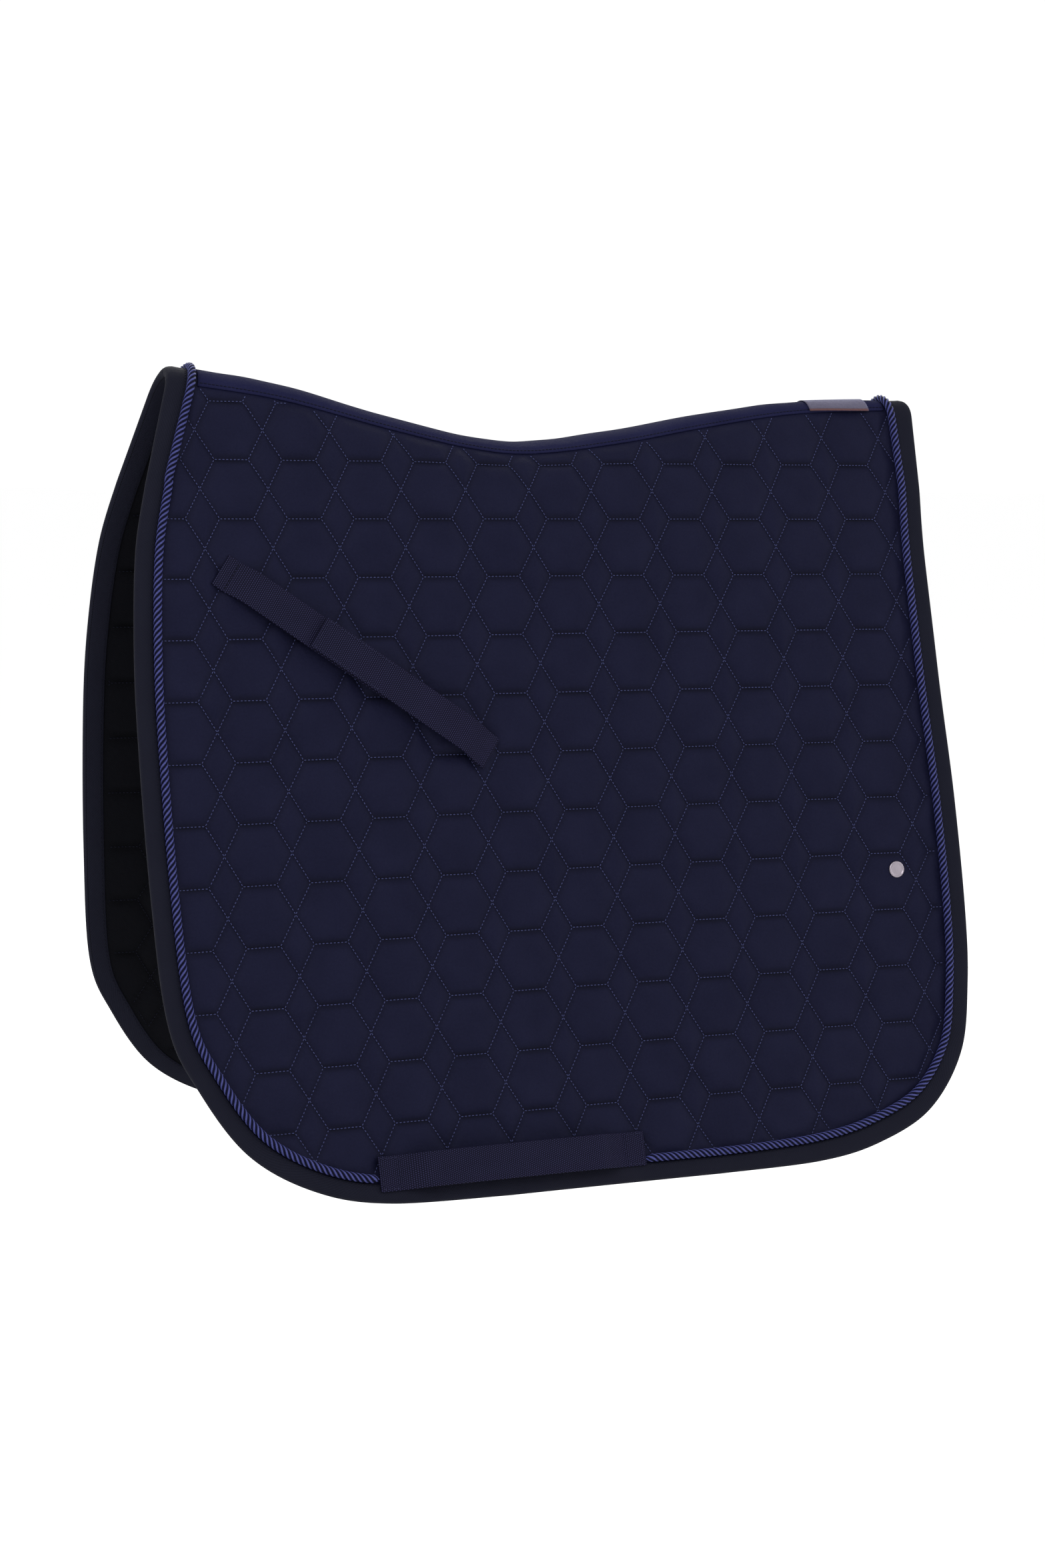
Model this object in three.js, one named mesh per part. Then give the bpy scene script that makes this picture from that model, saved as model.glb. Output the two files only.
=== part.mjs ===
// A quilted dressage saddle pad, draped as it hangs over a horse's back or a rack.
// Millimetres, +Z up. -X is the front (withers) end, -Y is the horse's left side.
// The origin is on the underside of the spine, at the lowest point of its dip.
// Each flap folds about a straight line in the middle of the pad's thickness, just below the dip;
// what is above that line is the spine section, what is below it is a flap.
import * as THREE from 'three';

// ---- the pad's section -------------------------------------------------------------------
const PAD_THICKNESS = 9;
const FABRIC = 1.2;
const LAYER_GAP = 0.3;
const FOLD_Z = -22;
const FOLD_HALF_WIDTH_FRONT = 48;
const FOLD_HALF_WIDTH_REAR = 35;
const HALF_LENGTH = 300;
const SLOPE_AT_FOLD = 0.33;
const SLOPE_LEAST = 0.177;
const LEAST_SLOPE_DEPTH = 237;
const REAR_TAPER = 0.04;
const WAIST = 8;
const WAIST_DEPTH = 120;
const SPLAY = Math.atan(SLOPE_AT_FOLD);

// ---- the side view: x against z ----------------------------------------------------------
const RIDGE = [
  [-276, 60], [-196, 48.5], [-115, 27.5], [-50, 13], [0, 9], [70, 18], [143, 31], [220, 41.5],
  [322, 45],
];
const FRONT_EDGE = [
  [-300, -22], [-310, -66], [-315, -125], [-316, -190], [-312, -300],
  [-304, -390], [-285, -435], [-252, -481], [-205, -509], [-150, -521.5], [-60, -524.5],
];
const REAR_EDGE = [
  [320.5, -22], [318.5, -75], [322.5, -165], [330.5, -260], [334.5, -345],
  [332.5, -401], [322, -452], [291, -492], [245, -513], [192, -522.5], [110, -524.5],
];

// ---- trims and fittings ------------------------------------------------------------------
const BINDING = { gap: 0.6, thickness: 0.8, cordGap: 2.6, innerLeg: 15 };
const CORD = {
  radius: 3, lift: 3.6, foldGap: 9,
  inset: 15.2, rearInset: 18.8, rearStart: 100, rearEnd: 290, ridgeExtra: 3.5,
};
const BAND = { halfWidth: 26, rearHalfWidth: 16, thickness: 0.8, frontInset: 23, rearInset: 27 };
const LABEL = { x0: 231, x1: 282, arc0: -6, arc1: 18, lift: 1.8, thickness: 0.6 };
const WEBBING_WIDTH = 25;
const WEBBING_THICKNESS = 1.4;
const GIRTH_LOOP = { x0: -160, x1: 48, z: -502, slot: 8.8, endTab: 18, rise: 14 };
const BILLET = {
  front: [-251.5, -81.5], rear: [-56, -214], slot: 6.5, rise: 14,
  lowerLength: 148, upperFreeEnd: 81, tapeStart: 88, tapeEnd: 142, tapeWidth: 20, tapeThickness: 0.9,
  axisLift: 3.6, rearTab: 16, upperRise: 20,
};
const BADGE = { x: 275, z: -312.5, radius: 6.4, height: 2, washerHeight: 1 };

const LEFT = -1;
const RIGHT = 1;

// ---- the outer surface -------------------------------------------------------------------
const ridgeCurve = new THREE.SplineCurve(RIDGE.map(([x, z]) => new THREE.Vector2(x, z)));
const ridgePoints = ridgeCurve.getPoints(120);

function ridgeHeight(x) {
  const last = ridgePoints.length - 1;
  const next = ridgePoints.findIndex((p) => p.x >= x);
  const i = next < 0 ? last : Math.max(1, next);
  const a = ridgePoints[i - 1];
  const b = ridgePoints[i];
  return a.y + ((b.y - a.y) * (x - a.x)) / (b.x - a.x);
}

function foldHalfWidth(x) {
  return THREE.MathUtils.mapLinear(
    x, -HALF_LENGTH, HALF_LENGTH, FOLD_HALF_WIDTH_FRONT, FOLD_HALF_WIDTH_REAR);
}

// The flap's slope falls from the fold to its least value and grows again towards the hem.
function spread(depth) {
  const bend = ((SLOPE_AT_FOLD - SLOPE_LEAST) * LEAST_SLOPE_DEPTH) / 3;
  return SLOPE_LEAST * depth + bend * ((depth / LEAST_SLOPE_DEPTH - 1) ** 3 + 1);
}

function flapHalfWidth(x, z) {
  const depth = FOLD_Z - z;
  const waist = WAIST * (1 - (x / HALF_LENGTH) ** 2) * THREE.MathUtils.smoothstep(depth, 0, WAIST_DEPTH);
  return foldHalfWidth(x) + spread(depth) * (1 - (REAR_TAPER * x) / HALF_LENGTH) - waist;
}

// A point on a flap's outer face, raised by lift along the face's outward normal.
function flapPoint(side, x, z, lift = 0) {
  const step = 0.5;
  const dx = (flapHalfWidth(x + step, z) - flapHalfWidth(x - step, z)) / (2 * step);
  const dz = (flapHalfWidth(x, z + step) - flapHalfWidth(x, z - step)) / (2 * step);
  const normal = new THREE.Vector3(-dx, side, -dz).normalize();
  return new THREE.Vector3(x, side * flapHalfWidth(x, z), z).addScaledVector(normal, lift);
}

// The spine's section is a round top of radius r that runs tangent into two straight flanks.
function spineSection(x) {
  const top = ridgeHeight(x);
  const fold = foldHalfWidth(x);
  const r = (fold - (top - FOLD_Z) * SLOPE_AT_FOLD)
    / (Math.cos(SPLAY) - (1 - Math.sin(SPLAY)) * SLOPE_AT_FOLD);
  const roundArc = r * (Math.PI / 2 - SPLAY);
  const flank = (fold - r * Math.cos(SPLAY)) / Math.sin(SPLAY);
  return { top, r, roundArc, length: roundArc + flank };
}

// The row runs 0 to 1 from front to rear, inset from both ends; arc is the distance across from
// the ridge, negative towards the left. Both end edges lean forward below the ridge.
function spineFacePoint(row, arc, endInset) {
  const x = THREE.MathUtils.lerp(RIDGE[0][0] + endInset, RIDGE.at(-1)[0] - endInset, row);
  const { top, r, roundArc } = spineSection(x);
  const side = Math.sign(arc);
  const angle = Math.min(Math.abs(arc), roundArc) / r;
  const straight = Math.max(0, Math.abs(arc) - roundArc);
  const y = side * (r * Math.sin(angle) + straight * Math.sin(SPLAY));
  const z = top - r * (1 - Math.cos(angle)) - straight * Math.cos(SPLAY);
  const frontLean = FRONT_EDGE[0][0] - RIDGE[0][0];
  const rearLean = REAR_EDGE[0][0] - RIDGE.at(-1)[0];
  const lean = (THREE.MathUtils.lerp(frontLean, rearLean, row) * (top - z)) / (top - FOLD_Z);
  return new THREE.Vector3(x + lean, y, z);
}

// A point on the spine's outer face, raised by lift along the face's outward normal.
function spinePoint(row, arc, lift = 0, endInset = 0) {
  const rowStep = 1e-3;
  const arcStep = 0.2;
  const near = spineFacePoint(row - rowStep, arc, endInset);
  const ahead = spineFacePoint(row + rowStep, arc, endInset).sub(near);
  const low = spineFacePoint(row, arc - arcStep, endInset);
  const over = spineFacePoint(row, arc + arcStep, endInset).sub(low);
  const normal = ahead.cross(over).normalize();
  return spineFacePoint(row, arc, endInset).addScaledVector(normal, lift);
}

// ---- closed meshes -----------------------------------------------------------------------
function closedGeometry(points, triangles) {
  let volume = 0;
  for (const [a, b, c] of triangles) {
    volume += points[a].dot(new THREE.Vector3().crossVectors(points[b], points[c]));
  }
  const facing = volume > 0 ? triangles : triangles.map(([a, b, c]) => [a, c, b]);
  const geometry = new THREE.BufferGeometry().setFromPoints(points);
  geometry.setIndex(facing.flat());
  geometry.computeVertexNormals();
  return geometry;
}

// A sheet between two faces, each a grid of rows of points with the same layout.
function sheetGeometry(outer, inner) {
  const rows = outer.length;
  const columns = outer[0].length;
  const points = [...outer.flat(), ...inner.flat()];
  const at = (face, i, j) => face * rows * columns + i * columns + j;
  const triangles = [];
  const quad = (a, b, c, d) => triangles.push([a, b, c], [a, c, d]);
  for (let i = 0; i < rows - 1; i += 1) {
    for (let j = 0; j < columns - 1; j += 1) {
      quad(at(0, i, j), at(0, i + 1, j), at(0, i + 1, j + 1), at(0, i, j + 1));
      quad(at(1, i, j), at(1, i, j + 1), at(1, i + 1, j + 1), at(1, i + 1, j));
    }
  }
  for (let i = 0; i < rows - 1; i += 1) {
    quad(at(0, i, 0), at(1, i, 0), at(1, i + 1, 0), at(0, i + 1, 0));
    quad(at(0, i + 1, columns - 1), at(1, i + 1, columns - 1), at(1, i, columns - 1), at(0, i, columns - 1));
  }
  for (let j = 0; j < columns - 1; j += 1) {
    quad(at(0, 0, j + 1), at(1, 0, j + 1), at(1, 0, j), at(0, 0, j));
    quad(at(0, rows - 1, j), at(1, rows - 1, j), at(1, rows - 1, j + 1), at(0, rows - 1, j + 1));
  }
  return closedGeometry(points, triangles);
}

// Sections of [across, up] points, one for each of the frames of { origin, across, up }.
function sweptGeometry(frames, sectionAt) {
  const points = frames.flatMap(({ origin, across, up }, i) => sectionAt(i).map(([a, u]) =>
    origin.clone().addScaledVector(across, a).addScaledVector(up, u)));
  const section = sectionAt(0);
  const count = section.length;
  const triangles = [];
  for (let i = 0; i < frames.length - 1; i += 1) {
    for (let j = 0; j < count; j += 1) {
      const a = i * count + j;
      const b = i * count + ((j + 1) % count);
      triangles.push([a, b, b + count], [a, b + count, a + count]);
    }
  }
  const cap = THREE.ShapeUtils.triangulateShape(section.map(([a, u]) => new THREE.Vector2(a, u)), []);
  const last = (frames.length - 1) * count;
  const clockwise = THREE.ShapeUtils.isClockWise(section.map(([a, u]) => new THREE.Vector2(a, u)));
  for (const [a, b, c] of cap) {
    triangles.push(clockwise ? [a, b, c] : [a, c, b]);
    triangles.push(clockwise ? [last + a, last + c, last + b] : [last + a, last + b, last + c]);
  }
  return closedGeometry(points, windEvenly(triangles));
}

// Turns triangles where needed, so that neighbours run their shared edge in opposite directions.
function windEvenly(triangles) {
  const owners = new Map();
  triangles.forEach((triangle, index) => {
    triangle.forEach((a, k) => {
      const b = triangle[(k + 1) % 3];
      const key = `${Math.min(a, b)}_${Math.max(a, b)}`;
      owners.set(key, [...(owners.get(key) ?? []), index]);
    });
  });
  const result = [...triangles];
  const done = new Set([0]);
  const queue = [0];
  while (queue.length > 0) {
    const index = queue.pop();
    result[index].forEach((a, k) => {
      const b = result[index][(k + 1) % 3];
      for (const other of owners.get(`${Math.min(a, b)}_${Math.max(a, b)}`)) {
        if (done.has(other)) continue;
        const [p, q, r] = result[other];
        const sameWay = (p === a && q === b) || (q === a && r === b) || (r === a && p === b);
        if (sameWay) result[other] = [p, r, q];
        done.add(other);
        queue.push(other);
      }
    });
  }
  return result;
}

// ---- materials ---------------------------------------------------------------------------
const colours = {
  shell: [0x1c1f38, 0.75], lining: [0x0f1018, 0.9], padding: [0xd8d6cf, 0.95], binding: [0x10121d, 0.85],
  cord: [0x33407c, 0.55], webbing: [0x1f2138, 0.7], tape: [0x15161f, 0.9], badge: [0xb9bcc4, 0.3],
  label: [0x6d6878, 0.8],
};
const pad = new THREE.Group();

function add(name, geometry, look) {
  const [color, roughness] = colours[look];
  const material = new THREE.MeshStandardMaterial({ color, roughness, metalness: look === 'badge' ? 1 : 0 });
  const mesh = new THREE.Mesh(geometry, material);
  mesh.name = name;
  pad.add(mesh);
}

// ---- layers ------------------------------------------------------------------------------
const LAYERS = [
  { name: 'outer_shell', look: 'shell', from: 0, to: -FABRIC },
  {
    name: 'padding', look: 'padding',
    from: -FABRIC - LAYER_GAP, to: -PAD_THICKNESS + FABRIC + LAYER_GAP,
  },
  { name: 'lining', look: 'lining', from: -PAD_THICKNESS + FABRIC, to: -PAD_THICKNESS },
];
const EDGE_INSET = BINDING.gap + BINDING.thickness;

// An edge of the side view as points at even distances, moved inwards by insetAt(x).
function edgePoints(edge, steps, insetAt) {
  const curve = new THREE.SplineCurve(edge.map(([x, z]) => new THREE.Vector2(x, z)));
  const inward = edge === FRONT_EDGE ? 1 : -1;
  return curve.getSpacedPoints(steps).map((p, i) => {
    const tangent = curve.getTangentAt(i / steps);
    const move = inward * insetAt(p.x);
    return new THREE.Vector2(p.x - move * tangent.y, p.y + move * tangent.x);
  });
}

const FLAP_ROWS = 20;
const FLAP_COLUMNS = 7;

function flapFace(side, lift) {
  const front = edgePoints(FRONT_EDGE, FLAP_ROWS, () => EDGE_INSET);
  const rear = edgePoints(REAR_EDGE, FLAP_ROWS, () => EDGE_INSET);
  return front.map((a, i) => Array.from({ length: FLAP_COLUMNS + 1 }, (_, j) => {
    const p = a.clone().lerp(rear[i], j / FLAP_COLUMNS);
    return flapPoint(side, p.x, p.y, lift);
  }));
}

const SPINE_ROWS = 11;
const SPINE_CLEARANCE = PAD_THICKNESS / 2 + 2.6;
const SPINE_SPAN = RIDGE.at(-1)[0] - RIDGE[0][0];
const spineRows = [0, BAND.frontInset / SPINE_SPAN];
for (let i = 1; i < SPINE_ROWS; i += 1) spineRows.push(i / SPINE_ROWS);
spineRows.push(1 - BAND.rearInset / SPINE_SPAN, 1);

function bandHalfWidth(row) {
  return THREE.MathUtils.lerp(BAND.halfWidth, BAND.rearHalfWidth, Math.max(0, 2 * row - 1));
}

// Distances across the spine from the left fold to the right fold; three steps each side are the band's.
function spineArcs(row) {
  const x = THREE.MathUtils.lerp(RIDGE[0][0], RIDGE.at(-1)[0], row);
  const end = spineSection(x).length - SPINE_CLEARANCE;
  const band = bandHalfWidth(row);
  const half = [band / 3, (2 * band) / 3, band, (band + end) / 2, end];
  return [...half.map((a) => -a).reverse(), 0, ...half];
}

function spineFace(lift, inset) {
  return spineRows.map((row) => spineArcs(row).map((arc) => spinePoint(row, arc, lift, inset)));
}

for (const { name, look, from, to } of LAYERS) {
  add(`spine_${name}`, sheetGeometry(spineFace(from, EDGE_INSET), spineFace(to, EDGE_INSET)), look);
  for (const [side, word] of [[LEFT, 'left'], [RIGHT, 'right']]) {
    add(`${word}_${name}`, sheetGeometry(flapFace(side, from), flapFace(side, to)), look);
  }
}

function bandFace(lift) {
  return spineFace(lift, EDGE_INSET).slice(1, -1).map((row) => row.slice(2, -2));
}
add('spine_band', sheetGeometry(bandFace(LAYER_GAP + BAND.thickness), bandFace(LAYER_GAP)), 'binding');

function labelFace(lift) {
  const rows = [LABEL.x0, (LABEL.x0 + LABEL.x1) / 2, LABEL.x1].map((x) => (x - RIDGE[0][0]) / SPINE_SPAN);
  const steps = 5;
  return rows.map((row) => Array.from({ length: steps + 1 }, (_, i) =>
    spinePoint(row, -THREE.MathUtils.lerp(LABEL.arc0, LABEL.arc1, i / steps), lift)));
}
add('spine_label', sheetGeometry(labelFace(LABEL.lift + LABEL.thickness), labelFace(LABEL.lift)), 'label');

// ---- edge binding: a folded strip, open towards the pad, that reaches the cord --------------
// The cord runs further from the edge at the rear end than at the front and along the hem.
function cordInset(x) {
  const share = THREE.MathUtils.smoothstep(x, CORD.rearStart, CORD.rearEnd);
  return THREE.MathUtils.lerp(CORD.inset, CORD.rearInset, share);
}

function bindingSection(outerLeg) {
  const { gap, thickness, innerLeg } = BINDING;
  const outside = gap + thickness;
  const top = outside;
  const bottom = -PAD_THICKNESS - outside;
  return [
    [0, top], [0, bottom], [-innerLeg, bottom], [-innerLeg, bottom + thickness],
    [-thickness, bottom + thickness], [-thickness, top - thickness],
    [-outerLeg, top - thickness], [-outerLeg, top],
  ];
}

// Frames through stations of { origin, up } on a face, with across pointing away from centre.
function framesThrough(stations, centre) {
  return stations.map(({ origin, up }, i) => {
    const before = stations[Math.max(0, i - 1)].origin;
    const after = stations[Math.min(stations.length - 1, i + 1)].origin;
    const tangent = after.clone().sub(before).normalize();
    const across = new THREE.Vector3().crossVectors(tangent, up).normalize();
    if (across.dot(origin.clone().sub(centre)) < 0) across.negate();
    return { origin, across, up };
  });
}

function station(pointAtLift) {
  const origin = pointAtLift(0);
  return { origin, up: pointAtLift(1).sub(origin) };
}

// The flap's edge in the side view, from the front of the fold round the hem to its rear.
function flapOutline(insetAt) {
  const front = edgePoints(FRONT_EDGE, FLAP_ROWS, insetAt);
  const rear = edgePoints(REAR_EDGE, FLAP_ROWS, insetAt);
  const hem = Array.from({ length: FLAP_COLUMNS - 1 }, (_, j) =>
    front.at(-1).clone().lerp(rear.at(-1), (j + 1) / FLAP_COLUMNS));
  return [...front, ...hem, ...rear.reverse()];
}

function flapBinding(side) {
  const outline = flapOutline(() => 0);
  const stations = outline.map((p) => station((lift) => flapPoint(side, p.x, p.y, lift)));
  return sweptGeometry(framesThrough(stations, flapPoint(side, 0, -250)), (i) =>
    bindingSection(cordInset(outline[i].x) - BINDING.cordGap));
}

function spineBinding(row) {
  const stations = spineArcs(row).map((arc) => station((lift) => spinePoint(row, arc, lift)));
  const leg = (row < 0.5 ? CORD.inset : CORD.rearInset) - BINDING.cordGap;
  return sweptGeometry(framesThrough(stations, spinePoint(0.5, 0)), () => bindingSection(leg));
}

add('spine_binding_front', spineBinding(0), 'binding');
add('spine_binding_rear', spineBinding(1), 'binding');
add('left_binding', flapBinding(LEFT), 'binding');
add('right_binding', flapBinding(RIGHT), 'binding');

// ---- piping cord -------------------------------------------------------------------------
function cordGeometry(points, steps) {
  const circle = new THREE.Shape();
  circle.absarc(0, 0, CORD.radius, 0, 2 * Math.PI);
  return new THREE.ExtrudeGeometry(circle, {
    steps, curveSegments: 4, bevelEnabled: false, extrudePath: new THREE.CatmullRomCurve3(points),
  });
}

const cordLine = new THREE.SplineCurve(flapOutline(cordInset));
const CORD_STEP = 20;

// The share of the cord's line, walked from the front, at which it passes x on the hem.
function hemShareAt(x) {
  const samples = cordLine.getSpacedPoints(800);
  return samples.findIndex((p) => p.y < GIRTH_LOOP.z + WEBBING_WIDTH && p.x >= x) / 800;
}

function flapCord(side, from, to) {
  const steps = Math.round(((to - from) * cordLine.getLength()) / CORD_STEP);
  const points = Array.from({ length: steps + 1 }, (_, i) => {
    const p = cordLine.getPointAt(THREE.MathUtils.lerp(from, to, i / steps));
    return flapPoint(side, p.x, p.y, CORD.lift);
  });
  return cordGeometry(points, steps);
}

function spineCord(row) {
  const end = spineArcs(row).at(-1);
  const count = 20;
  const inset = row < 0.5 ? CORD.inset : CORD.rearInset;
  const points = Array.from({ length: count + 1 }, (_, i) => {
    const share = (2 * i) / count - 1;
    return spinePoint(row, share * end, CORD.lift, inset + CORD.ridgeExtra * (1 - Math.abs(share)));
  });
  return cordGeometry(points, count);
}

const CORD_TUCK_GAP = 2;
const CORD_FOLD_SHARE = CORD.foldGap / cordLine.getLength();
add('spine_cord_front', spineCord(0), 'cord');
add('spine_cord_rear', spineCord(1), 'cord');
for (const [side, word] of [[LEFT, 'left'], [RIGHT, 'right']]) {
  const frontEnd = hemShareAt(GIRTH_LOOP.x0 - CORD_TUCK_GAP);
  const rearEnd = hemShareAt(GIRTH_LOOP.x1 + CORD_TUCK_GAP);
  add(`${word}_cord_front`, flapCord(side, CORD_FOLD_SHARE, frontEnd), 'cord');
  add(`${word}_cord_rear`, flapCord(side, rearEnd, 1 - CORD_FOLD_SHARE), 'cord');
}

// ---- webbing -----------------------------------------------------------------------------
// A flat strip through stations of [distance, lift] along a straight line in the side view.
function stripGeometry(side, start, end, stations, width, thickness) {
  const from = new THREE.Vector2(...start);
  const direction = new THREE.Vector2(...end).sub(from).normalize();
  const at = (distance) => from.clone().addScaledVector(direction, distance);
  const frames = stations.map(([distance, lift]) => {
    const p = at(distance);
    const before = at(distance - 1);
    const after = at(distance + 1);
    const origin = flapPoint(side, p.x, p.y, lift);
    const up = flapPoint(side, p.x, p.y, lift + 1).sub(origin);
    const tangent = flapPoint(side, after.x, after.y).sub(flapPoint(side, before.x, before.y)).normalize();
    const across = new THREE.Vector3().crossVectors(tangent, up).normalize();
    return { origin, across, up };
  });
  const w = width / 2;
  const h = thickness / 2;
  return sweptGeometry(frames, () => [[-w, -h], [w, -h], [w, h], [-w, h]]);
}

function girthLoop(side) {
  const { x0, x1, z, slot, endTab, rise } = GIRTH_LOOP;
  const sewn = BINDING.gap + BINDING.thickness + LAYER_GAP + WEBBING_THICKNESS / 2;
  const raised = BINDING.gap + BINDING.thickness + slot + WEBBING_THICKNESS / 2;
  const length = x1 - x0;
  return stripGeometry(side, [x0, z], [x1, z], [
    [0, sewn], [endTab, sewn], [endTab + rise, raised],
    [length - endTab - rise, raised], [length - endTab, sewn], [length, sewn],
  ], WEBBING_WIDTH, WEBBING_THICKNESS);
}

const LOWER_LIFT = BILLET.slot + WEBBING_THICKNESS / 2;
const LOOP_TAPE_LIFT = LOWER_LIFT + WEBBING_THICKNESS / 2 + LAYER_GAP + BILLET.tapeThickness / 2;
const HOOK_TAPE_LIFT = LOOP_TAPE_LIFT + BILLET.tapeThickness + LAYER_GAP;
const UPPER_LIFT = HOOK_TAPE_LIFT + BILLET.tapeThickness / 2 + LAYER_GAP + WEBBING_THICKNESS / 2;
const SEWN_LIFT = LAYER_GAP + WEBBING_THICKNESS / 2;
const BILLET_LENGTH = Math.hypot(BILLET.rear[0] - BILLET.front[0], BILLET.rear[1] - BILLET.front[1]);

function billetStrip(side, stations, width = WEBBING_WIDTH, thickness = WEBBING_THICKNESS) {
  return stripGeometry(side, BILLET.front, BILLET.rear, stations, width, thickness);
}

function badgeGeometry(profile, side, lift) {
  const geometry = new THREE.LatheGeometry(profile.map(([r, h]) => new THREE.Vector2(r, h)), 20);
  const origin = flapPoint(side, BADGE.x, BADGE.z, lift);
  const up = flapPoint(side, BADGE.x, BADGE.z, lift + 1).sub(origin);
  geometry.applyQuaternion(new THREE.Quaternion().setFromUnitVectors(new THREE.Vector3(0, 1, 0), up));
  geometry.translate(origin.x, origin.y, origin.z);
  return geometry;
}

for (const [side, word] of [[LEFT, 'left'], [RIGHT, 'right']]) {
  add(`${word}_girth_loop`, girthLoop(side), 'webbing');
  add(`${word}_billet_strap_lower`, billetStrip(side, [
    [0, SEWN_LIFT], [BILLET.rise / 2, SEWN_LIFT], [1.5 * BILLET.rise, LOWER_LIFT],
    [BILLET.lowerLength, LOWER_LIFT],
  ]), 'webbing');
  add(`${word}_loop_tape`, billetStrip(side, [
    [BILLET.tapeStart, LOOP_TAPE_LIFT], [BILLET.tapeEnd, LOOP_TAPE_LIFT],
  ], BILLET.tapeWidth, BILLET.tapeThickness), 'tape');
  add(`${word}_hook_tape`, billetStrip(side, [
    [BILLET.tapeStart, HOOK_TAPE_LIFT], [BILLET.tapeEnd, HOOK_TAPE_LIFT],
  ], BILLET.tapeWidth, BILLET.tapeThickness), 'tape');
  add(`${word}_billet_strap_upper`, billetStrip(side, [
    [BILLET.upperFreeEnd, UPPER_LIFT], [BILLET_LENGTH - BILLET.upperRise, UPPER_LIFT],
    [BILLET_LENGTH - 1, BILLET.axisLift],
  ]), 'webbing');
  add(`${word}_billet_tab`, billetStrip(side, [
    [BILLET_LENGTH - BILLET.rearTab / 2, SEWN_LIFT], [BILLET_LENGTH + BILLET.rearTab / 2, SEWN_LIFT],
  ]), 'webbing');
  const { radius, height, washerHeight } = BADGE;
  add(`${word}_badge`, badgeGeometry(
    [[0, 0], [radius, 0], [radius, 0.6 * height], [0.88 * radius, height], [0.76 * radius, 0.8 * height],
      [0, 0.85 * height]], side, LAYER_GAP), 'badge');
  add(`${word}_badge_washer`, badgeGeometry(
    [[0, 0], [radius, 0], [radius, washerHeight], [0, washerHeight]],
    side, -PAD_THICKNESS - LAYER_GAP - washerHeight), 'badge');
}

export default pad;
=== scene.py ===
import math

import bmesh
import bpy
import numpy as np
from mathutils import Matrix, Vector
from mathutils.bvhtree import BVHTree


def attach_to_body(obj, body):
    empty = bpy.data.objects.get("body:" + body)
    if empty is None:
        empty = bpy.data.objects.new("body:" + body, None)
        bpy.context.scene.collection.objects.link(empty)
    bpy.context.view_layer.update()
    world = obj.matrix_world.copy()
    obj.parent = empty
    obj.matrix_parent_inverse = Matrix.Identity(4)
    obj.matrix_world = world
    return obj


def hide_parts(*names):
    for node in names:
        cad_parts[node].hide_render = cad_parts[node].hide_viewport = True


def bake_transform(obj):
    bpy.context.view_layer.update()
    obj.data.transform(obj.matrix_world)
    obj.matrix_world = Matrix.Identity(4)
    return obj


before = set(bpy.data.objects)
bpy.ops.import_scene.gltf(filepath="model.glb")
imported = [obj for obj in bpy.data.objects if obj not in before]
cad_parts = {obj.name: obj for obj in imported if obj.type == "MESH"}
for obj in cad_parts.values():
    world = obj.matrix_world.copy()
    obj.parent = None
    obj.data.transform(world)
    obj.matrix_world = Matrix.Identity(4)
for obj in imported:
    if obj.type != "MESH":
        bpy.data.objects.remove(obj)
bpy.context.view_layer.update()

# A quilted dressage saddle pad. Lengths are millimetres until build() makes a mesh in metres.
# The pad's surface is addressed by x, front to rear, and s, the distance along the cloth from the
# fold: negative up to the ridge of the spine, positive down to the hem.
MM = 0.001
SIDES = (("left", -1), ("right", 1))

# ---- camera ------------------------------------------------------------------------------
CAMERA_PLACE = (-0.750136, -1.943196, 0.023092)
CAMERA_ANGLES = (82.54679, -0.86155, -21.07606)
camera_data = bpy.data.cameras.new("camera")
camera_data.sensor_width = 36.0
camera_data.lens = 63.2525
camera_data.clip_end = 100.0
camera = bpy.data.objects.new("camera", camera_data)
bpy.context.scene.collection.objects.link(camera)
camera.location = CAMERA_PLACE
camera.rotation_euler = [math.radians(angle) for angle in CAMERA_ANGLES]
bpy.context.scene.camera = camera

# ---- the pad's surface -------------------------------------------------------------------
FOLD_Z = -22.0
SLOPE_AT_FOLD = 0.33
SPLAY = math.atan(SLOPE_AT_FOLD)
SLOPE_LEAST, SLOPE_LEAST_DEPTH = 0.177, 237
FOLD_HALF_WIDTH, FOLD_TAPER = 41.5, 6.5
HALF_LENGTH = 300
WAIST, WAIST_DEPTH = 8, 120
REAR_NARROWING = 0.04
SLOPE_EXTRA = SLOPE_AT_FOLD - SLOPE_LEAST
RIDGE = [(-276, 60), (-196, 48.5), (-115, 27.5), (-50, 13), (0, 9), (70, 18), (143, 31),
         (220, 41.5), (322, 45)]
FRONT_EDGE = [(-300, -22), (-310, -66), (-315, -125), (-316, -190), (-312, -300), (-304, -390),
              (-285, -435), (-252, -481), (-205, -509), (-150, -521.5), (-60, -524.5)]
REAR_EDGE = [(320.5, -22), (318.5, -75), (322.5, -165), (330.5, -260), (334.5, -345),
             (332.5, -401), (322, -452), (291, -492), (245, -513), (192, -522.5), (110, -524.5)]
RIDGE_START, RIDGE_END = RIDGE[0][0], RIDGE[-1][0]
SPAN = RIDGE_END - RIDGE_START
FRONT_LEAN, REAR_LEAN = FRONT_EDGE[0][0] - RIDGE_START, REAR_EDGE[0][0] - RIDGE_END


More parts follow.
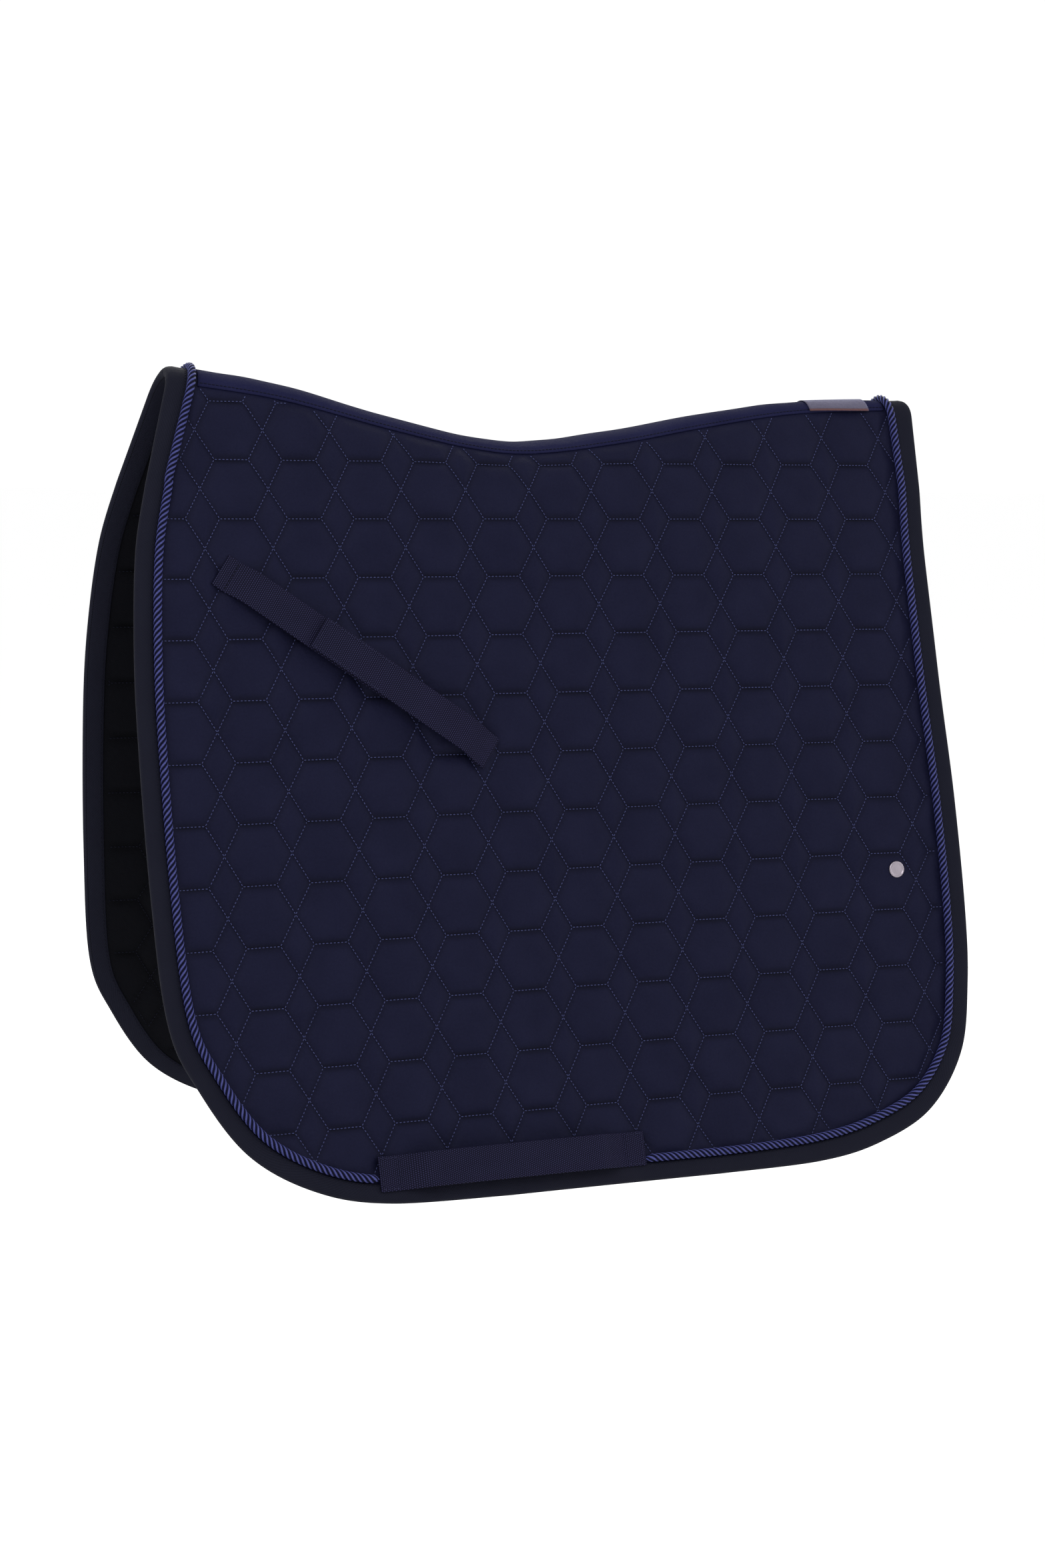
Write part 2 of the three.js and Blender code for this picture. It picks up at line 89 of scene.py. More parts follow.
def catmull(points, count):
    """Points at even steps along a Catmull-Rom curve through the given ones."""
    p = np.array(points, float)
    t = np.linspace(0, len(p) - 1, count)
    i = np.minimum(t.astype(int), len(p) - 2)
    w = (t - i)[:, None]
    p0, p1, p2, p3 = p[np.maximum(i - 1, 0)], p[i], p[i + 1], p[np.minimum(i + 2, len(p) - 1)]
    v0, v1 = (p2 - p0) / 2, (p3 - p1) / 2
    return (2 * p1 - 2 * p2 + v0 + v1) * w**3 + (3 * p2 - 3 * p1 - 2 * v0 - v1) * w**2 + v0 * w + p1


def smoothstep(x, low, high):
    t = np.clip((np.asarray(x, float) - low) / (high - low), 0, 1)
    return t * t * (3 - 2 * t)


def lerp(a, b, t):
    return a + (b - a) * t


def unit(v):
    return v / np.maximum(np.linalg.norm(v, axis=-1, keepdims=True), 1e-12)


ridge = catmull(RIDGE, 600)
ridge = np.vstack([2 * ridge[:1] - ridge[8:9], ridge, 2 * ridge[-1:] - ridge[-9:-8]])


def fold_half_width(x):
    """Half the pad's width at the fold, which narrows to the rear."""
    return FOLD_HALF_WIDTH - FOLD_TAPER * np.asarray(x) / HALF_LENGTH


def spread(depth):
    """How far a side stands out from the fold at a depth below it."""
    bend = SLOPE_EXTRA * SLOPE_LEAST_DEPTH / 3
    return SLOPE_LEAST * depth + bend * ((depth / SLOPE_LEAST_DEPTH - 1) ** 3 + 1)


depth_table = np.linspace(0, 700, 1401)
slope_table = SLOPE_LEAST + SLOPE_EXTRA * (depth_table / SLOPE_LEAST_DEPTH - 1) ** 2
cloth_table = np.concatenate([[0], np.cumsum(np.hypot(1, slope_table)[1:] * np.diff(depth_table))])


def cloth_at(z):
    """The distance along the cloth from the fold down to height z."""
    return np.interp(FOLD_Z - np.asarray(z, float), depth_table, cloth_table)


def flap_half_width(x, z):
    depth = FOLD_Z - z
    waist = WAIST * (1 - (x / HALF_LENGTH) ** 2) * smoothstep(depth, 0, WAIST_DEPTH)
    return fold_half_width(x) + spread(depth) * (1 - REAR_NARROWING * x / HALF_LENGTH) - waist


def flap_point(side, x, z, lift):
    """A point above a flap at x and z, and the outward normal there."""
    step = 0.5
    dx = (flap_half_width(x + step, z) - flap_half_width(x - step, z)) / (2 * step)
    dz = (flap_half_width(x, z + step) - flap_half_width(x, z - step)) / (2 * step)
    normal = unit(np.stack([-dx, side * np.ones_like(dx), -dz], -1))
    return np.stack([x, side * flap_half_width(x, z), z], -1) + normal * lift[..., None], normal


def spine_section(x):
    """The section at x of the ridge: its top, its radius, the round part's arc and the whole arc."""
    top = np.interp(x, ridge[:, 0], ridge[:, 1])
    half = fold_half_width(x)
    r = ((half - (top - FOLD_Z) * SLOPE_AT_FOLD)
         / (math.cos(SPLAY) - (1 - math.sin(SPLAY)) * SLOPE_AT_FOLD))
    round_arc = r * (math.pi / 2 - SPLAY)
    return top, r, round_arc, round_arc + (half - r * math.cos(SPLAY)) / math.sin(SPLAY)


def spine_face(row, arc, inset):
    """A point of the spine's face: row runs from 0 at the front to 1, arc from the ridge."""
    x = lerp(RIDGE_START + inset, RIDGE_END - inset, row)
    top, r, round_arc, length = spine_section(x)
    a = np.abs(arc)
    angle = np.minimum(a, round_arc) / r
    straight = np.maximum(0, a - round_arc)
    y = r * np.sin(angle) + straight * math.sin(SPLAY)
    z = top - r * (1 - np.cos(angle)) - straight * math.cos(SPLAY)
    lean = lerp(FRONT_LEAN, REAR_LEAN, row) * (top - z) / (top - FOLD_Z)
    y = y * (1 + (fold_half_width(x + lean) / fold_half_width(x) - 1) * (a / length) ** 2)
    return np.stack([x + lean, np.sign(arc) * y, z], -1)


def spine_point(row, arc, lift):
    """A point above the spine and the outward normal there."""
    row, arc, lift = np.broadcast_arrays(*(np.asarray(v, float) for v in (row, arc, lift)))
    ahead = spine_face(row + 1e-3, arc, 0) - spine_face(row - 1e-3, arc, 0)
    over = spine_face(row, arc + 0.2, 0) - spine_face(row, arc - 0.2, 0)
    normal = unit(np.cross(ahead, over))
    return spine_face(row, arc, 0) + normal * lift[..., None], normal


def spine_row(x, s):
    """The row, and the arc from the ridge, of the spine's point at x and s."""
    x_ridge = x.copy()
    for _ in range(5):
        top, r, round_arc, length = spine_section(x_ridge)
        arc = np.maximum(length + s, 0)
        angle = np.minimum(arc, round_arc) / r
        z = top - r * (1 - np.cos(angle)) - np.maximum(0, arc - round_arc) * math.cos(SPLAY)
        row = (x_ridge - RIDGE_START) / SPAN
        x_ridge = x - lerp(FRONT_LEAN, REAR_LEAN, row) * (top - z) / (top - FOLD_Z)
    return (x_ridge - RIDGE_START) / SPAN, arc


def ripple(x, s):
    """Slow waves of the hanging cloth, none at the fold and most at the hem."""
    wave = np.sin(x / 61 + s / 130 + 0.6) + 0.7 * np.sin(x / 34 - s / 95 + 2.1)
    return 0.9 * smoothstep(s, 60, 480) * wave


def surface(side, x, s, lift=0.0):
    """A point above one side of the pad at x and s, and the outward normal there."""
    x, s, lift = (v.astype(float) for v in np.broadcast_arrays(x, s, lift))
    z = FOLD_Z - np.interp(s, cloth_table, depth_table)
    point, normal = flap_point(side, x, z, lift + ripple(x, s))
    up = s < 0
    if up.any():
        row, arc = spine_row(x[up], s[up])
        point[up], normal[up] = spine_point(row, side * arc, lift[up])
    return point, normal


# ---- lines on the surface ----------------------------------------------------------------
CORD_INSET, CORD_REAR_INSET, CORD_RIDGE_EXTRA = 15.2, 18.8, 3.5


def cord_inset(x):
    """How far the cord's middle is from the edge: further at the rear end."""
    return lerp(CORD_INSET, CORD_REAR_INSET, smoothstep(x, 100, 290))


def cord_distance(x, s):
    """How far the cord's middle is from the edge, with what it gains towards the ridge."""
    return cord_inset(x) + CORD_RIDGE_EXTRA * np.clip(-s / spine_section(x)[3], 0, 1)


def edge_line(edge, inward, inset, beside_cord=False):
    """An edge of the flap from the fold to the hem, moved in by inset, as points of x and s."""
    p = catmull(edge, 400)
    t = unit(np.gradient(p, axis=0))
    move = inset + beside_cord * cord_inset(p[:, :1])
    q = p + inward * move * np.stack([-t[:, 1], t[:, 0]], -1)
    q = np.vstack([q[0] + t[0] * (FOLD_Z - q[0, 1]) / t[0, 1], q])
    return np.stack([q[:, 0], cloth_at(q[:, 1])], -1)


def spine_edge(row, inset, beside_cord=False, count=40):
    """An open end of the spine from the ridge to the fold, as points of x and s."""
    x = lerp(RIDGE_START, RIDGE_END, row)
    length = float(spine_section(x)[3])
    arcs = np.linspace(0, length, count)
    move = inset + beside_cord * cord_distance(x, arcs - length)
    return np.stack([spine_face(np.full(count, float(row)), arcs, move)[:, 0], arcs - length], -1)


def even(line, step):
    """A line of x and s with points at even distances on the surface."""
    p = surface(1, line[:, 0], line[:, 1])[0]
    run = np.concatenate([[0], np.cumsum(np.linalg.norm(np.diff(p, axis=0), axis=1))])
    at = np.linspace(0, run[-1], max(2, int(round(run[-1] / step)) + 1))
    return np.stack([np.interp(at, run, line[:, 0]), np.interp(at, run, line[:, 1])], -1), at


def outline(inset, beside_cord=False):
    """The side's edge from the front of the ridge round the hem to the rear of the ridge.

    It is moved in by inset, which counts from the cord's middle where beside_cord says so.
    """
    front = np.vstack([spine_edge(0, inset, beside_cord)[:-1],
                       edge_line(FRONT_EDGE, 1, inset, beside_cord)])
    rear = np.vstack([spine_edge(1, inset, beside_cord)[:-1],
                      edge_line(REAR_EDGE, -1, inset, beside_cord)])
    return np.vstack([front, rear[::-1]])


EDGE = even(outline(0), 4)[0]


def from_edge(x, s):
    """The distance on the cloth from the side's edge."""
    points = np.stack([x.ravel(), s.ravel()], -1)
    a, d = EDGE[:-1], np.diff(EDGE, axis=0)
    nearest = np.full(len(points), 1e9)
    for start in range(0, len(points), 4000):
        rel = points[start:start + 4000, None] - a[None]
        t = np.clip((rel * d).sum(-1) / (d * d).sum(-1), 0, 1)
        gap = np.linalg.norm(rel - t[..., None] * d, axis=-1)
        nearest[start:start + 4000] = gap.min(1)
    return nearest.reshape(x.shape)


# ---- quilting ----------------------------------------------------------------------------
PITCH_X = 50.0
PITCH_S = 43.3
ROW_TWO = 25.0
COLUMN_X = 12.8
COLUMN_TILT = 0.55
HALF_SEGMENT = 12.5


def band_half_width(x):
    """Half the band's width, along the arc: narrower at the rear."""
    return lerp(26, 16, smoothstep(x, 20, 318))


def quilt_cell(x, s):
    """The place in the quilting's period: across from a column's middle and down from a row."""
    row = (s - ROW_TWO) / PITCH_S + 2
    u = (x - COLUMN_X - COLUMN_TILT * row + PITCH_X / 2) % PITCH_X - PITCH_X / 2
    v = (s - ROW_TWO) % PITCH_S
    return u, np.minimum(v, PITCH_S - v)


def seam_distance(x, s):
    """Distances from the nearest sewn line and from the nearest line along a row."""
    u, v = quilt_cell(x, s)
    u = np.abs(u)
    slanted = np.abs((u - HALF_SEGMENT) * math.sin(math.pi / 3) - v * 0.5)
    level = np.where(u < HALF_SEGMENT, v, np.hypot(u - HALF_SEGMENT, v))
    return np.minimum(slanted, level), level


def puff(x, s):
    """How far the quilting swells, from 0 at the sewn lines to about 1."""
    seam, level = seam_distance(x, s)
    soft = np.sqrt(seam**2 + 0.8) - math.sqrt(0.8)
    swell = 1 - (1 - np.clip(soft / 10.5, 0, 1)) ** 2.3
    crease = np.exp(-((level / 2.6) ** 2))
    uneven = 1 + 0.10 * np.sin(x / 17 + s / 29) + 0.08 * np.sin(x / 41 - s / 13 + 1)
    return swell * uneven - 0.30 * crease


def quilted(x, s):
    """How much of the quilting's relief the cloth has: none at the binding and under the band."""
    top = np.zeros_like(x)
    up = s < 0
    if up.any():
        top[up] = spine_row(x[up], s[up])[1]
    top[~up] = 60 + s[~up]
    ridge_share = smoothstep(top - band_half_width(x), -1, 9)
    return smoothstep(from_edge(x, s) - cord_inset(x), -1, 11) * ridge_share


# ---- meshes ------------------------------------------------------------------------------
def build(name, points, faces, cloth=None, material=None, values=None):
    """A mesh object from points in millimetres. cloth holds each point's place on its cloth."""
    mesh = bpy.data.meshes.new(name)
    points = np.asarray(points, float)
    mesh.from_pydata((points * MM).tolist(), [], [list(map(int, f)) for f in faces])
    mesh.validate()
    if cloth is not None:
        flat = np.zeros((len(points), 3), np.float32)
        flat[:, :2] = cloth
        mesh.attributes.new("cloth", "FLOAT_VECTOR", "POINT").data.foreach_set(
            "vector", flat.ravel())
    for key, value in (values or {}).items():
        mesh.attributes.new(key, "FLOAT", "POINT").data.foreach_set(
            "value", np.asarray(value, np.float32).ravel())
    mesh.polygons.foreach_set("use_smooth", [True] * len(mesh.polygons))
    mesh.update()
    piece = bpy.data.objects.new(name, mesh)
    bpy.context.scene.collection.objects.link(piece)
    if material:
        mesh.materials.append(material)
    return piece


def grid_faces(rows, columns, start=0, flip=False, close=False):
    """The quads of a grid of points; close joins its last column to its first."""
    i, j = np.meshgrid(np.arange(rows - 1), np.arange(columns if close else columns - 1),
                       indexing="ij")
    i, j = i.ravel(), j.ravel()
    k = (j + 1) % columns
    quad = np.stack([i * columns + j, (i + 1) * columns + j, (i + 1) * columns + k,
                     i * columns + k], -1) + start
    return quad[:, ::-1] if flip else quad


def rim_of(rows, columns):
    """The indices round a grid, in order."""
    count = rows * columns
    return np.concatenate([
        np.arange(columns), np.arange(1, rows) * columns + columns - 1,
        count - 2 - np.arange(columns - 1), (np.arange(rows - 2, 0, -1)) * columns])


def slab(top, bottom, every=1):
    """A closed body between two grids; bottom has only every n-th row and column of top's."""
    rows, columns = top.shape[:2]
    count = rows * columns
    points = np.concatenate([top.reshape(-1, 3), bottom.reshape(-1, 3)])
    fine = rim_of(rows, columns)
    coarse = rim_of(*bottom.shape[:2]) + count
    faces = grid_faces(rows, columns, 0).tolist()
    faces += grid_faces(*bottom.shape[:2], count, True).tolist()
    for i, corner in enumerate(coarse):
        after = coarse[(i + 1) % len(coarse)]
        run = [fine[(every * i + k) % len(fine)] for k in range(every + 1)]
        faces.append([*run, after, corner])
    return points, faces


def swept(points, normals, section, twist=None, taper=None):
    """A closed body: a section of [across, up] carried along points with the given normals."""
    tangent = unit(np.gradient(points, axis=0))
    across = unit(np.cross(tangent, normals))
    up = np.cross(across, tangent)
    section = np.asarray(section, float)
    if section.ndim == 2:
        section = np.repeat(section[None], len(points), 0)
    if taper is not None:
        section = section * np.asarray(taper)[:, None, None]
    if twist is not None:
        c, n = np.cos(twist)[:, None], np.sin(twist)[:, None]
        section = np.stack([section[..., 0] * c - section[..., 1] * n,
                            section[..., 0] * n + section[..., 1] * c], -1)
    body = (points[:, None] + section[..., :1] * across[:, None] + section[..., 1:] * up[:, None])
    rows, columns = body.shape[:2]
    faces = [list(f) for f in grid_faces(rows, columns, close=True)]
    faces.append(list(range(columns)))
    faces.append(list(range(rows * columns - 1, (rows - 1) * columns - 1, -1)))
    return body.reshape(-1, 3), faces


def outward(piece):
    """Turns the piece's faces outward."""
    work = bmesh.new()
    work.from_mesh(piece.data)
    bmesh.ops.recalc_face_normals(work, faces=work.faces)
    work.to_mesh(piece.data)
    work.free()
    return piece


def attach(piece, body, slot, *nodes):
    """The piece moves with a body and stands for the CAD nodes; slot is not used."""
    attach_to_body(piece, body)
    if nodes:
        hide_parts(*nodes)


# ---- materials ---------------------------------------------------------------------------
def node_material(name, colour, roughness, sheen=0.0, sheen_tint=(1, 1, 1), metallic=0.0,
                  specular=0.5):
    """A new material: (material, nodes, links, Principled node)."""
    material = bpy.data.materials.new(name)
    material.use_nodes = True
    nodes, links = material.node_tree.nodes, material.node_tree.links
    shader = nodes["Principled BSDF"]
    shader.inputs["Base Color"].default_value = (*colour, 1)
    shader.inputs["Roughness"].default_value = roughness
    shader.inputs["Metallic"].default_value = metallic
    shader.inputs["Sheen Weight"].default_value = sheen
    shader.inputs["Sheen Roughness"].default_value = 0.4
    shader.inputs["Specular IOR Level"].default_value = specular
    shader.inputs["Sheen Tint"].default_value = (*sheen_tint, 1)
    return material, nodes, links, shader


def add(nodes, kind, **settings):
    """A new shader node with its settings and input values."""
    node = nodes.new("ShaderNode" + kind)
    for key, value in settings.items():
        if key in ("operation", "data_type", "attribute_name"):
            setattr(node, key, value)
        else:
            node.inputs[key.replace("_", " ")].default_value = value
    return node


def maths(nodes, operation, a, b=None, c=None):
    """A maths node's result; each value is a number or another node's output."""
    links = nodes.id_data.links
    node = add(nodes, "Math", operation=operation)
    for slot, value in enumerate((a, b, c)):
        if value is None:
            continue
        if isinstance(value, (int, float)):
            node.inputs[slot].default_value = value
        else:
            links.new(value, node.inputs[slot])
    return node.outputs[0]


def noise(nodes, vector, scale, detail=3.0):
    """A noise node's result."""
    links = nodes.id_data.links
    node = add(nodes, "TexNoise", Scale=scale, Detail=detail)
    links.new(vector, node.inputs["Vector"])
    return node.outputs["Fac"]


def mix_colour(nodes, share, a, b):
    """A mix of two colours."""
    links = nodes.id_data.links
    node = add(nodes, "Mix", data_type="RGBA")
    for slot, value in ((6, a), (7, b)):
        if isinstance(value, tuple):
            node.inputs[slot].default_value = (*value, 1)
        else:
            links.new(value, node.inputs[slot])
    links.new(share, node.inputs[0])
    return node.outputs[2]


SHEEN_TINT = (0.5, 0.55, 1.0)


def cloth_material(name, colour, light, roughness, weave, pitch=(0.8, 0.8), depth=0.08, sheen=0.3,
                   crease=False, specular=0.12):
    """Woven cloth. weave is plain, twill or webbing; pitch is in millimetres."""
    material, nodes, links, shader = node_material(name, colour, roughness, sheen, SHEEN_TINT,
                                                   specular=specular)
    place = add(nodes, "Attribute", attribute_name="cloth").outputs["Vector"]
    parts = add(nodes, "SeparateXYZ")
    links.new(place, parts.inputs[0])
    u, v = parts.outputs[0], parts.outputs[1]

    def wave(value, length, phase=0.0):
        turned = maths(nodes, "MULTIPLY_ADD", value, 2 * math.pi / length, phase)
        return maths(nodes, "MULTIPLY_ADD", maths(nodes, "SINE", turned), 0.5, 0.5)

    if weave == "twill":
        slant = maths(nodes, "MULTIPLY_ADD", u, 0.42, v)
        fine = maths(nodes, "MULTIPLY_ADD", v, -0.42, u)
        ribs = wave(slant, 1.08 * pitch[0])
        pattern = maths(nodes, "MULTIPLY", ribs,
                        maths(nodes, "MULTIPLY_ADD", wave(fine, pitch[1]), 0.3, 0.7))
    elif weave == "webbing":
        pattern = add(nodes, "Attribute", attribute_name="weave").outputs["Fac"]
    else:
        a = maths(nodes, "MULTIPLY", wave(u, pitch[0]), wave(v, pitch[1]))
        b = maths(nodes, "MULTIPLY", wave(u, pitch[0], math.pi),
                  wave(v, pitch[1], math.pi))
        pattern = maths(nodes, "ADD", a, b)

    slow = noise(nodes, place, 0.03, 4.0)
    quick = noise(nodes, place, 0.6, 2.0)
    tone = maths(nodes, "MULTIPLY_ADD", slow, 0.55,
                 maths(nodes, "MULTIPLY", quick, 0.45))
    # Painted shade: for twill and webbing the colour follows the weave's height and is darker in its
    # hollows.
    if weave in ("twill", "webbing"):
        tone = maths(nodes, "MULTIPLY", pattern,
                     maths(nodes, "MULTIPLY_ADD", tone, 0.9, 0.55))
    else:
        tone = maths(nodes, "MULTIPLY_ADD", tone, 1.5, -0.4)
    base = mix_colour(nodes, tone, colour, light)
    rough = maths(nodes, "MULTIPLY_ADD", quick, 0.14, roughness - 0.07)
    # Painted shade: the cloth darkens along the quilting's creases, as the crease attribute says.
    if crease:
        fold = add(nodes, "Attribute", attribute_name="crease").outputs["Fac"]
        painted_shade = tuple(0.4 * c for c in colour)
        base = mix_colour(nodes, maths(nodes, "MULTIPLY", fold, 0.9), base, painted_shade)
    links.new(base, shader.inputs["Base Color"])
    links.new(rough, shader.inputs["Roughness"])
    height = maths(nodes, "MULTIPLY_ADD", pattern, depth,
                   maths(nodes, "MULTIPLY", noise(nodes, place, 0.22, 4.0), 0.5))
    bump = add(nodes, "Bump", Strength=1.0, Distance=MM)
    links.new(height, bump.inputs["Height"])
    links.new(bump.outputs[0], shader.inputs["Normal"])
    return material


def thread_material(name, colour, light):
    """Sewing thread."""
    material, nodes, links, shader = node_material(name, colour, 0.5, specular=0.08)
    place = add(nodes, "TexCoord").outputs["Object"]
    tone = noise(nodes, place, 900.0, 2.0)
    links.new(mix_colour(nodes, tone, colour, light), shader.inputs["Base Color"])
    links.new(maths(nodes, "MULTIPLY_ADD", tone, 0.2, 0.4), shader.inputs["Roughness"])
    return material


SHELL = cloth_material("satin_cotton", (0.0038, 0.0041, 0.0150), (0.0084, 0.0090, 0.0262), 0.55,
                       "plain", (0.60, 0.46), 0.05, sheen=0.0, crease=True, specular=0.05)
# The band's satin is the shell's navy made about twice as light: painted light for the ridge's lit top.
BAND_CLOTH = cloth_material("band_satin", (0.0080, 0.0085, 0.0290), (0.0145, 0.0153, 0.0450), 0.7,
                            "plain", (0.60, 0.46), 0.05, sheen=0.0, specular=0.012)
LINING = cloth_material("lining_twill", (0.0018, 0.0019, 0.0028), (0.0046, 0.0048, 0.0070), 0.75,
                        "twill", (0.8, 0.8), 0.10, sheen=0.0, crease=True, specular=0.03)
BINDING = cloth_material("binding_twill", (0.0024, 0.0026, 0.0070), (0.0125, 0.0132, 0.0230), 0.7,
                         "twill", (0.8, 0.8), 0.14, sheen=0.0, specular=0.05)
WEBBING = cloth_material("webbing", (0.0008, 0.0008, 0.0036), (0.0260, 0.0250, 0.0640), 0.6,
                         "webbing", (1.5, 1.55), 0.10, sheen=0.0, specular=0.04)
TAPE = cloth_material("hook_and_loop", (0.003, 0.003, 0.006), (0.008, 0.008, 0.016), 0.8,
                      "plain", (1.2, 1.2), 0.30, sheen=0.05, specular=0.04)
LABEL_CLOTH = cloth_material("label_woven", (0.060, 0.055, 0.085), (0.115, 0.105, 0.150), 0.6,
                             "plain", (0.5, 0.5), 0.05, sheen=0.2)
LABEL_EDGE = cloth_material("label_edge", (0.065, 0.030, 0.030), (0.110, 0.050, 0.048), 0.6,
                            "plain", (0.5, 0.5), 0.05, sheen=0.2)
THREAD = thread_material("quilting_thread", (0.026, 0.030, 0.082), (0.050, 0.057, 0.138))
DARK_THREAD = thread_material("dark_thread", (0.0025, 0.0028, 0.0075), (0.006, 0.0065, 0.014))
WEBBING_THREAD = thread_material("webbing_thread", (0.010, 0.010, 0.028), (0.024, 0.024, 0.056))


def cord_material():
    """Twisted satin cord: fibres run along each strand."""
    material, nodes, links, shader = node_material("satin_cord", (0.03, 0.045, 0.19), 0.42,
                                                   specular=0.12)
    place = add(nodes, "Attribute", attribute_name="cloth").outputs["Vector"]
    parts = add(nodes, "SeparateXYZ")
    links.new(place, parts.inputs[0])
    turned = maths(nodes, "MULTIPLY_ADD", parts.outputs[0], 0.42, parts.outputs[1])
    fibre = maths(nodes, "SINE", maths(nodes, "MULTIPLY", turned, 24.0))
    groove = add(nodes, "Attribute", attribute_name="groove").outputs["Fac"]
    # Painted shade and highlight: the colour darkens into the grooves between strands and lightens a
    # little on each fibre's crown.
    tone = maths(nodes, "MULTIPLY_ADD", fibre, 0.14,
                 maths(nodes, "MULTIPLY_ADD", groove, -1.9, 0.84))
    links.new(mix_colour(nodes, tone, (0.0010, 0.0013, 0.013), (0.078, 0.087, 0.290)),
              shader.inputs["Base Color"])
    links.new(maths(nodes, "MULTIPLY_ADD", groove, 0.3, 0.36), shader.inputs["Roughness"])
    bump = add(nodes, "Bump", Strength=0.6, Distance=0.1 * MM)
    links.new(fibre, bump.inputs["Height"])
    links.new(bump.outputs[0], shader.inputs["Normal"])
    return material


CORD_SATIN = cord_material()


def metal_material():
    """Brushed silver-coloured metal."""
    material, nodes, links, shader = node_material("satin_silver", (0.36, 0.33, 0.37), 0.34,
                                                   metallic=1.0)
    place = add(nodes, "TexCoord").outputs["Object"]
    grain = noise(nodes, place, 1500.0, 4.0)
    links.new(mix_colour(nodes, grain, (0.255, 0.225, 0.26), (0.36, 0.325, 0.365)),
              shader.inputs["Base Color"])
    links.new(maths(nodes, "MULTIPLY_ADD", grain, 0.2, 0.24), shader.inputs["Roughness"])
    return material


SILVER = metal_material()


def follow_fold(piece):
    """Bakes the piece's transform into its mesh."""
    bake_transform(piece)


def panel_places(rows_up, rows_down, columns, inset=2.0):
    """x and s of a grid over one side, from the ridge down to the hem."""
    up = np.linspace(0, 1, rows_up + 1)[:-1]
    across = np.linspace(0, 1, columns)
    x_ridge = lerp(RIDGE_START + inset, RIDGE_END - inset, across)
    length = spine_section(x_ridge)[3]
    arc = up[:, None] * length[None]
    x_up = spine_face(np.broadcast_to(across, arc.shape), arc, inset)[..., 0]
    s_up = arc - length[None]
    front, _ = even(edge_line(FRONT_EDGE, 1, inset), 1)
    rear, _ = even(edge_line(REAR_EDGE, -1, inset), 1)
    down = np.linspace(0, 1, rows_down)

    def pick(line):
        at = np.linspace(0, 1, len(line))
        return np.stack([np.interp(down, at, line[:, 0]), np.interp(down, at, line[:, 1])], -1)

    a, b = pick(front), pick(rear)
    grid = a[:, None] + (b - a)[:, None] * across[None, :, None]
    return np.concatenate([x_up, grid[..., 0]]), np.concatenate([s_up, grid[..., 1]])


PUFF_HEIGHT = 2.5


def outer_lift(x, s):
    """The height of the panel's outer face."""
    share = quilted(x, s)
    return lerp(-1.0, -2.1 + PUFF_HEIGHT * puff(x, s), share)


def inner_lift(x, s):
    """The height of the lining's inner face."""
    share = quilted(x, s)
    return lerp(-8.2, -7.4 - 1.5 * puff(x, s), share)


def crease_shade(x, s):
    """How much painted shade darkens the cloth at the quilting's creases, most along the lines of a
    row.
    """
    seam, level = seam_distance(x, s)
    painted_shade = np.maximum(0.6 * np.exp(-((seam / 1.8) ** 2)), np.exp(-((level / 2.3) ** 2)))
    return painted_shade * quilted(x, s)


BACK_EVERY = 4
x_fine, s_fine = panel_places(33, 240, 309)
x_soft, s_soft = panel_places(25, 160, 205)
shown_faces = {}
for word, side in SIDES:
    for part, x, s, face, back, material, slot in (
            ("panel", x_fine, s_fine, outer_lift, -4.3, SHELL, "quilted_shell"),
            ("quilted_lining", x_soft, s_soft, inner_lift, -4.7, LINING, "lining")):
        shown = surface(side, x, s, face(x, s))[0]
        x_back, s_back = x[::BACK_EVERY, ::BACK_EVERY], s[::BACK_EVERY, ::BACK_EVERY]
        points, faces = slab(shown, surface(side, x_back, s_back, back)[0], BACK_EVERY)
        shown_faces[word, part] = BVHTree.FromPolygons(
            shown.reshape(-1, 3).tolist(), grid_faces(*x.shape).tolist())
        cloth = np.stack([np.concatenate([x.ravel(), x_back.ravel()]),
                          np.concatenate([s.ravel(), s_back.ravel()])], -1)
        # Painted shade for the quilting's creases, kept in the crease attribute.
        crease = crease_shade(*cloth.T)
        piece = outward(build(f"{word}_{part}", points, faces, cloth, material,
                              values={"crease": crease}))
        follow_fold(piece)
        layers = ("outer_shell", "padding") if part == "panel" else ("lining",)
        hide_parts(*[f"{place}_{layer}" for place in ("spine", word) for layer in layers])

# ---- stitches ----------------------------------------------------------------------------
def stitch_mesh(centres, along, up, length, radius, sides=5):
    """Closed little threads: points and faces."""
    across = unit(np.cross(along, up))
    up = np.cross(across, along)
    angles = np.arange(sides) * 2 * math.pi / sides + math.pi / 2
    ring = (np.cos(angles)[:, None] * across[:, None, :] + np.sin(angles)[:, None] * up[:, None, :])
    half = 0.5 * length
    tips = [centres - along * half, centres + along * half]
    rings = [centres[:, None] + ring * radius + along[:, None] * t * half for t in (-0.55, 0.55)]
    sink = up * radius * 0.9
    points = np.concatenate([(tips[0] - sink)[:, None], rings[0], rings[1],
                             (tips[1] - sink)[:, None]], 1)
    count = 2 + 2 * sides
    j = np.arange(sides)
    k = (j + 1) % sides
    first = np.stack([np.zeros(sides, int), 1 + k, 1 + j], -1)
    last = np.stack([np.full(sides, count - 1), 1 + sides + j, 1 + sides + k], -1)
    middle = np.stack([1 + j, 1 + k, 1 + sides + k, 1 + sides + j], -1)
    base = (np.arange(len(centres)) * count)[:, None, None]
    faces = (base + first[None]).reshape(-1, 3).tolist()
    faces += (base + last[None]).reshape(-1, 3).tolist()
    faces += (base + middle[None]).reshape(-1, 4).tolist()
    return points.reshape(-1, 3), faces


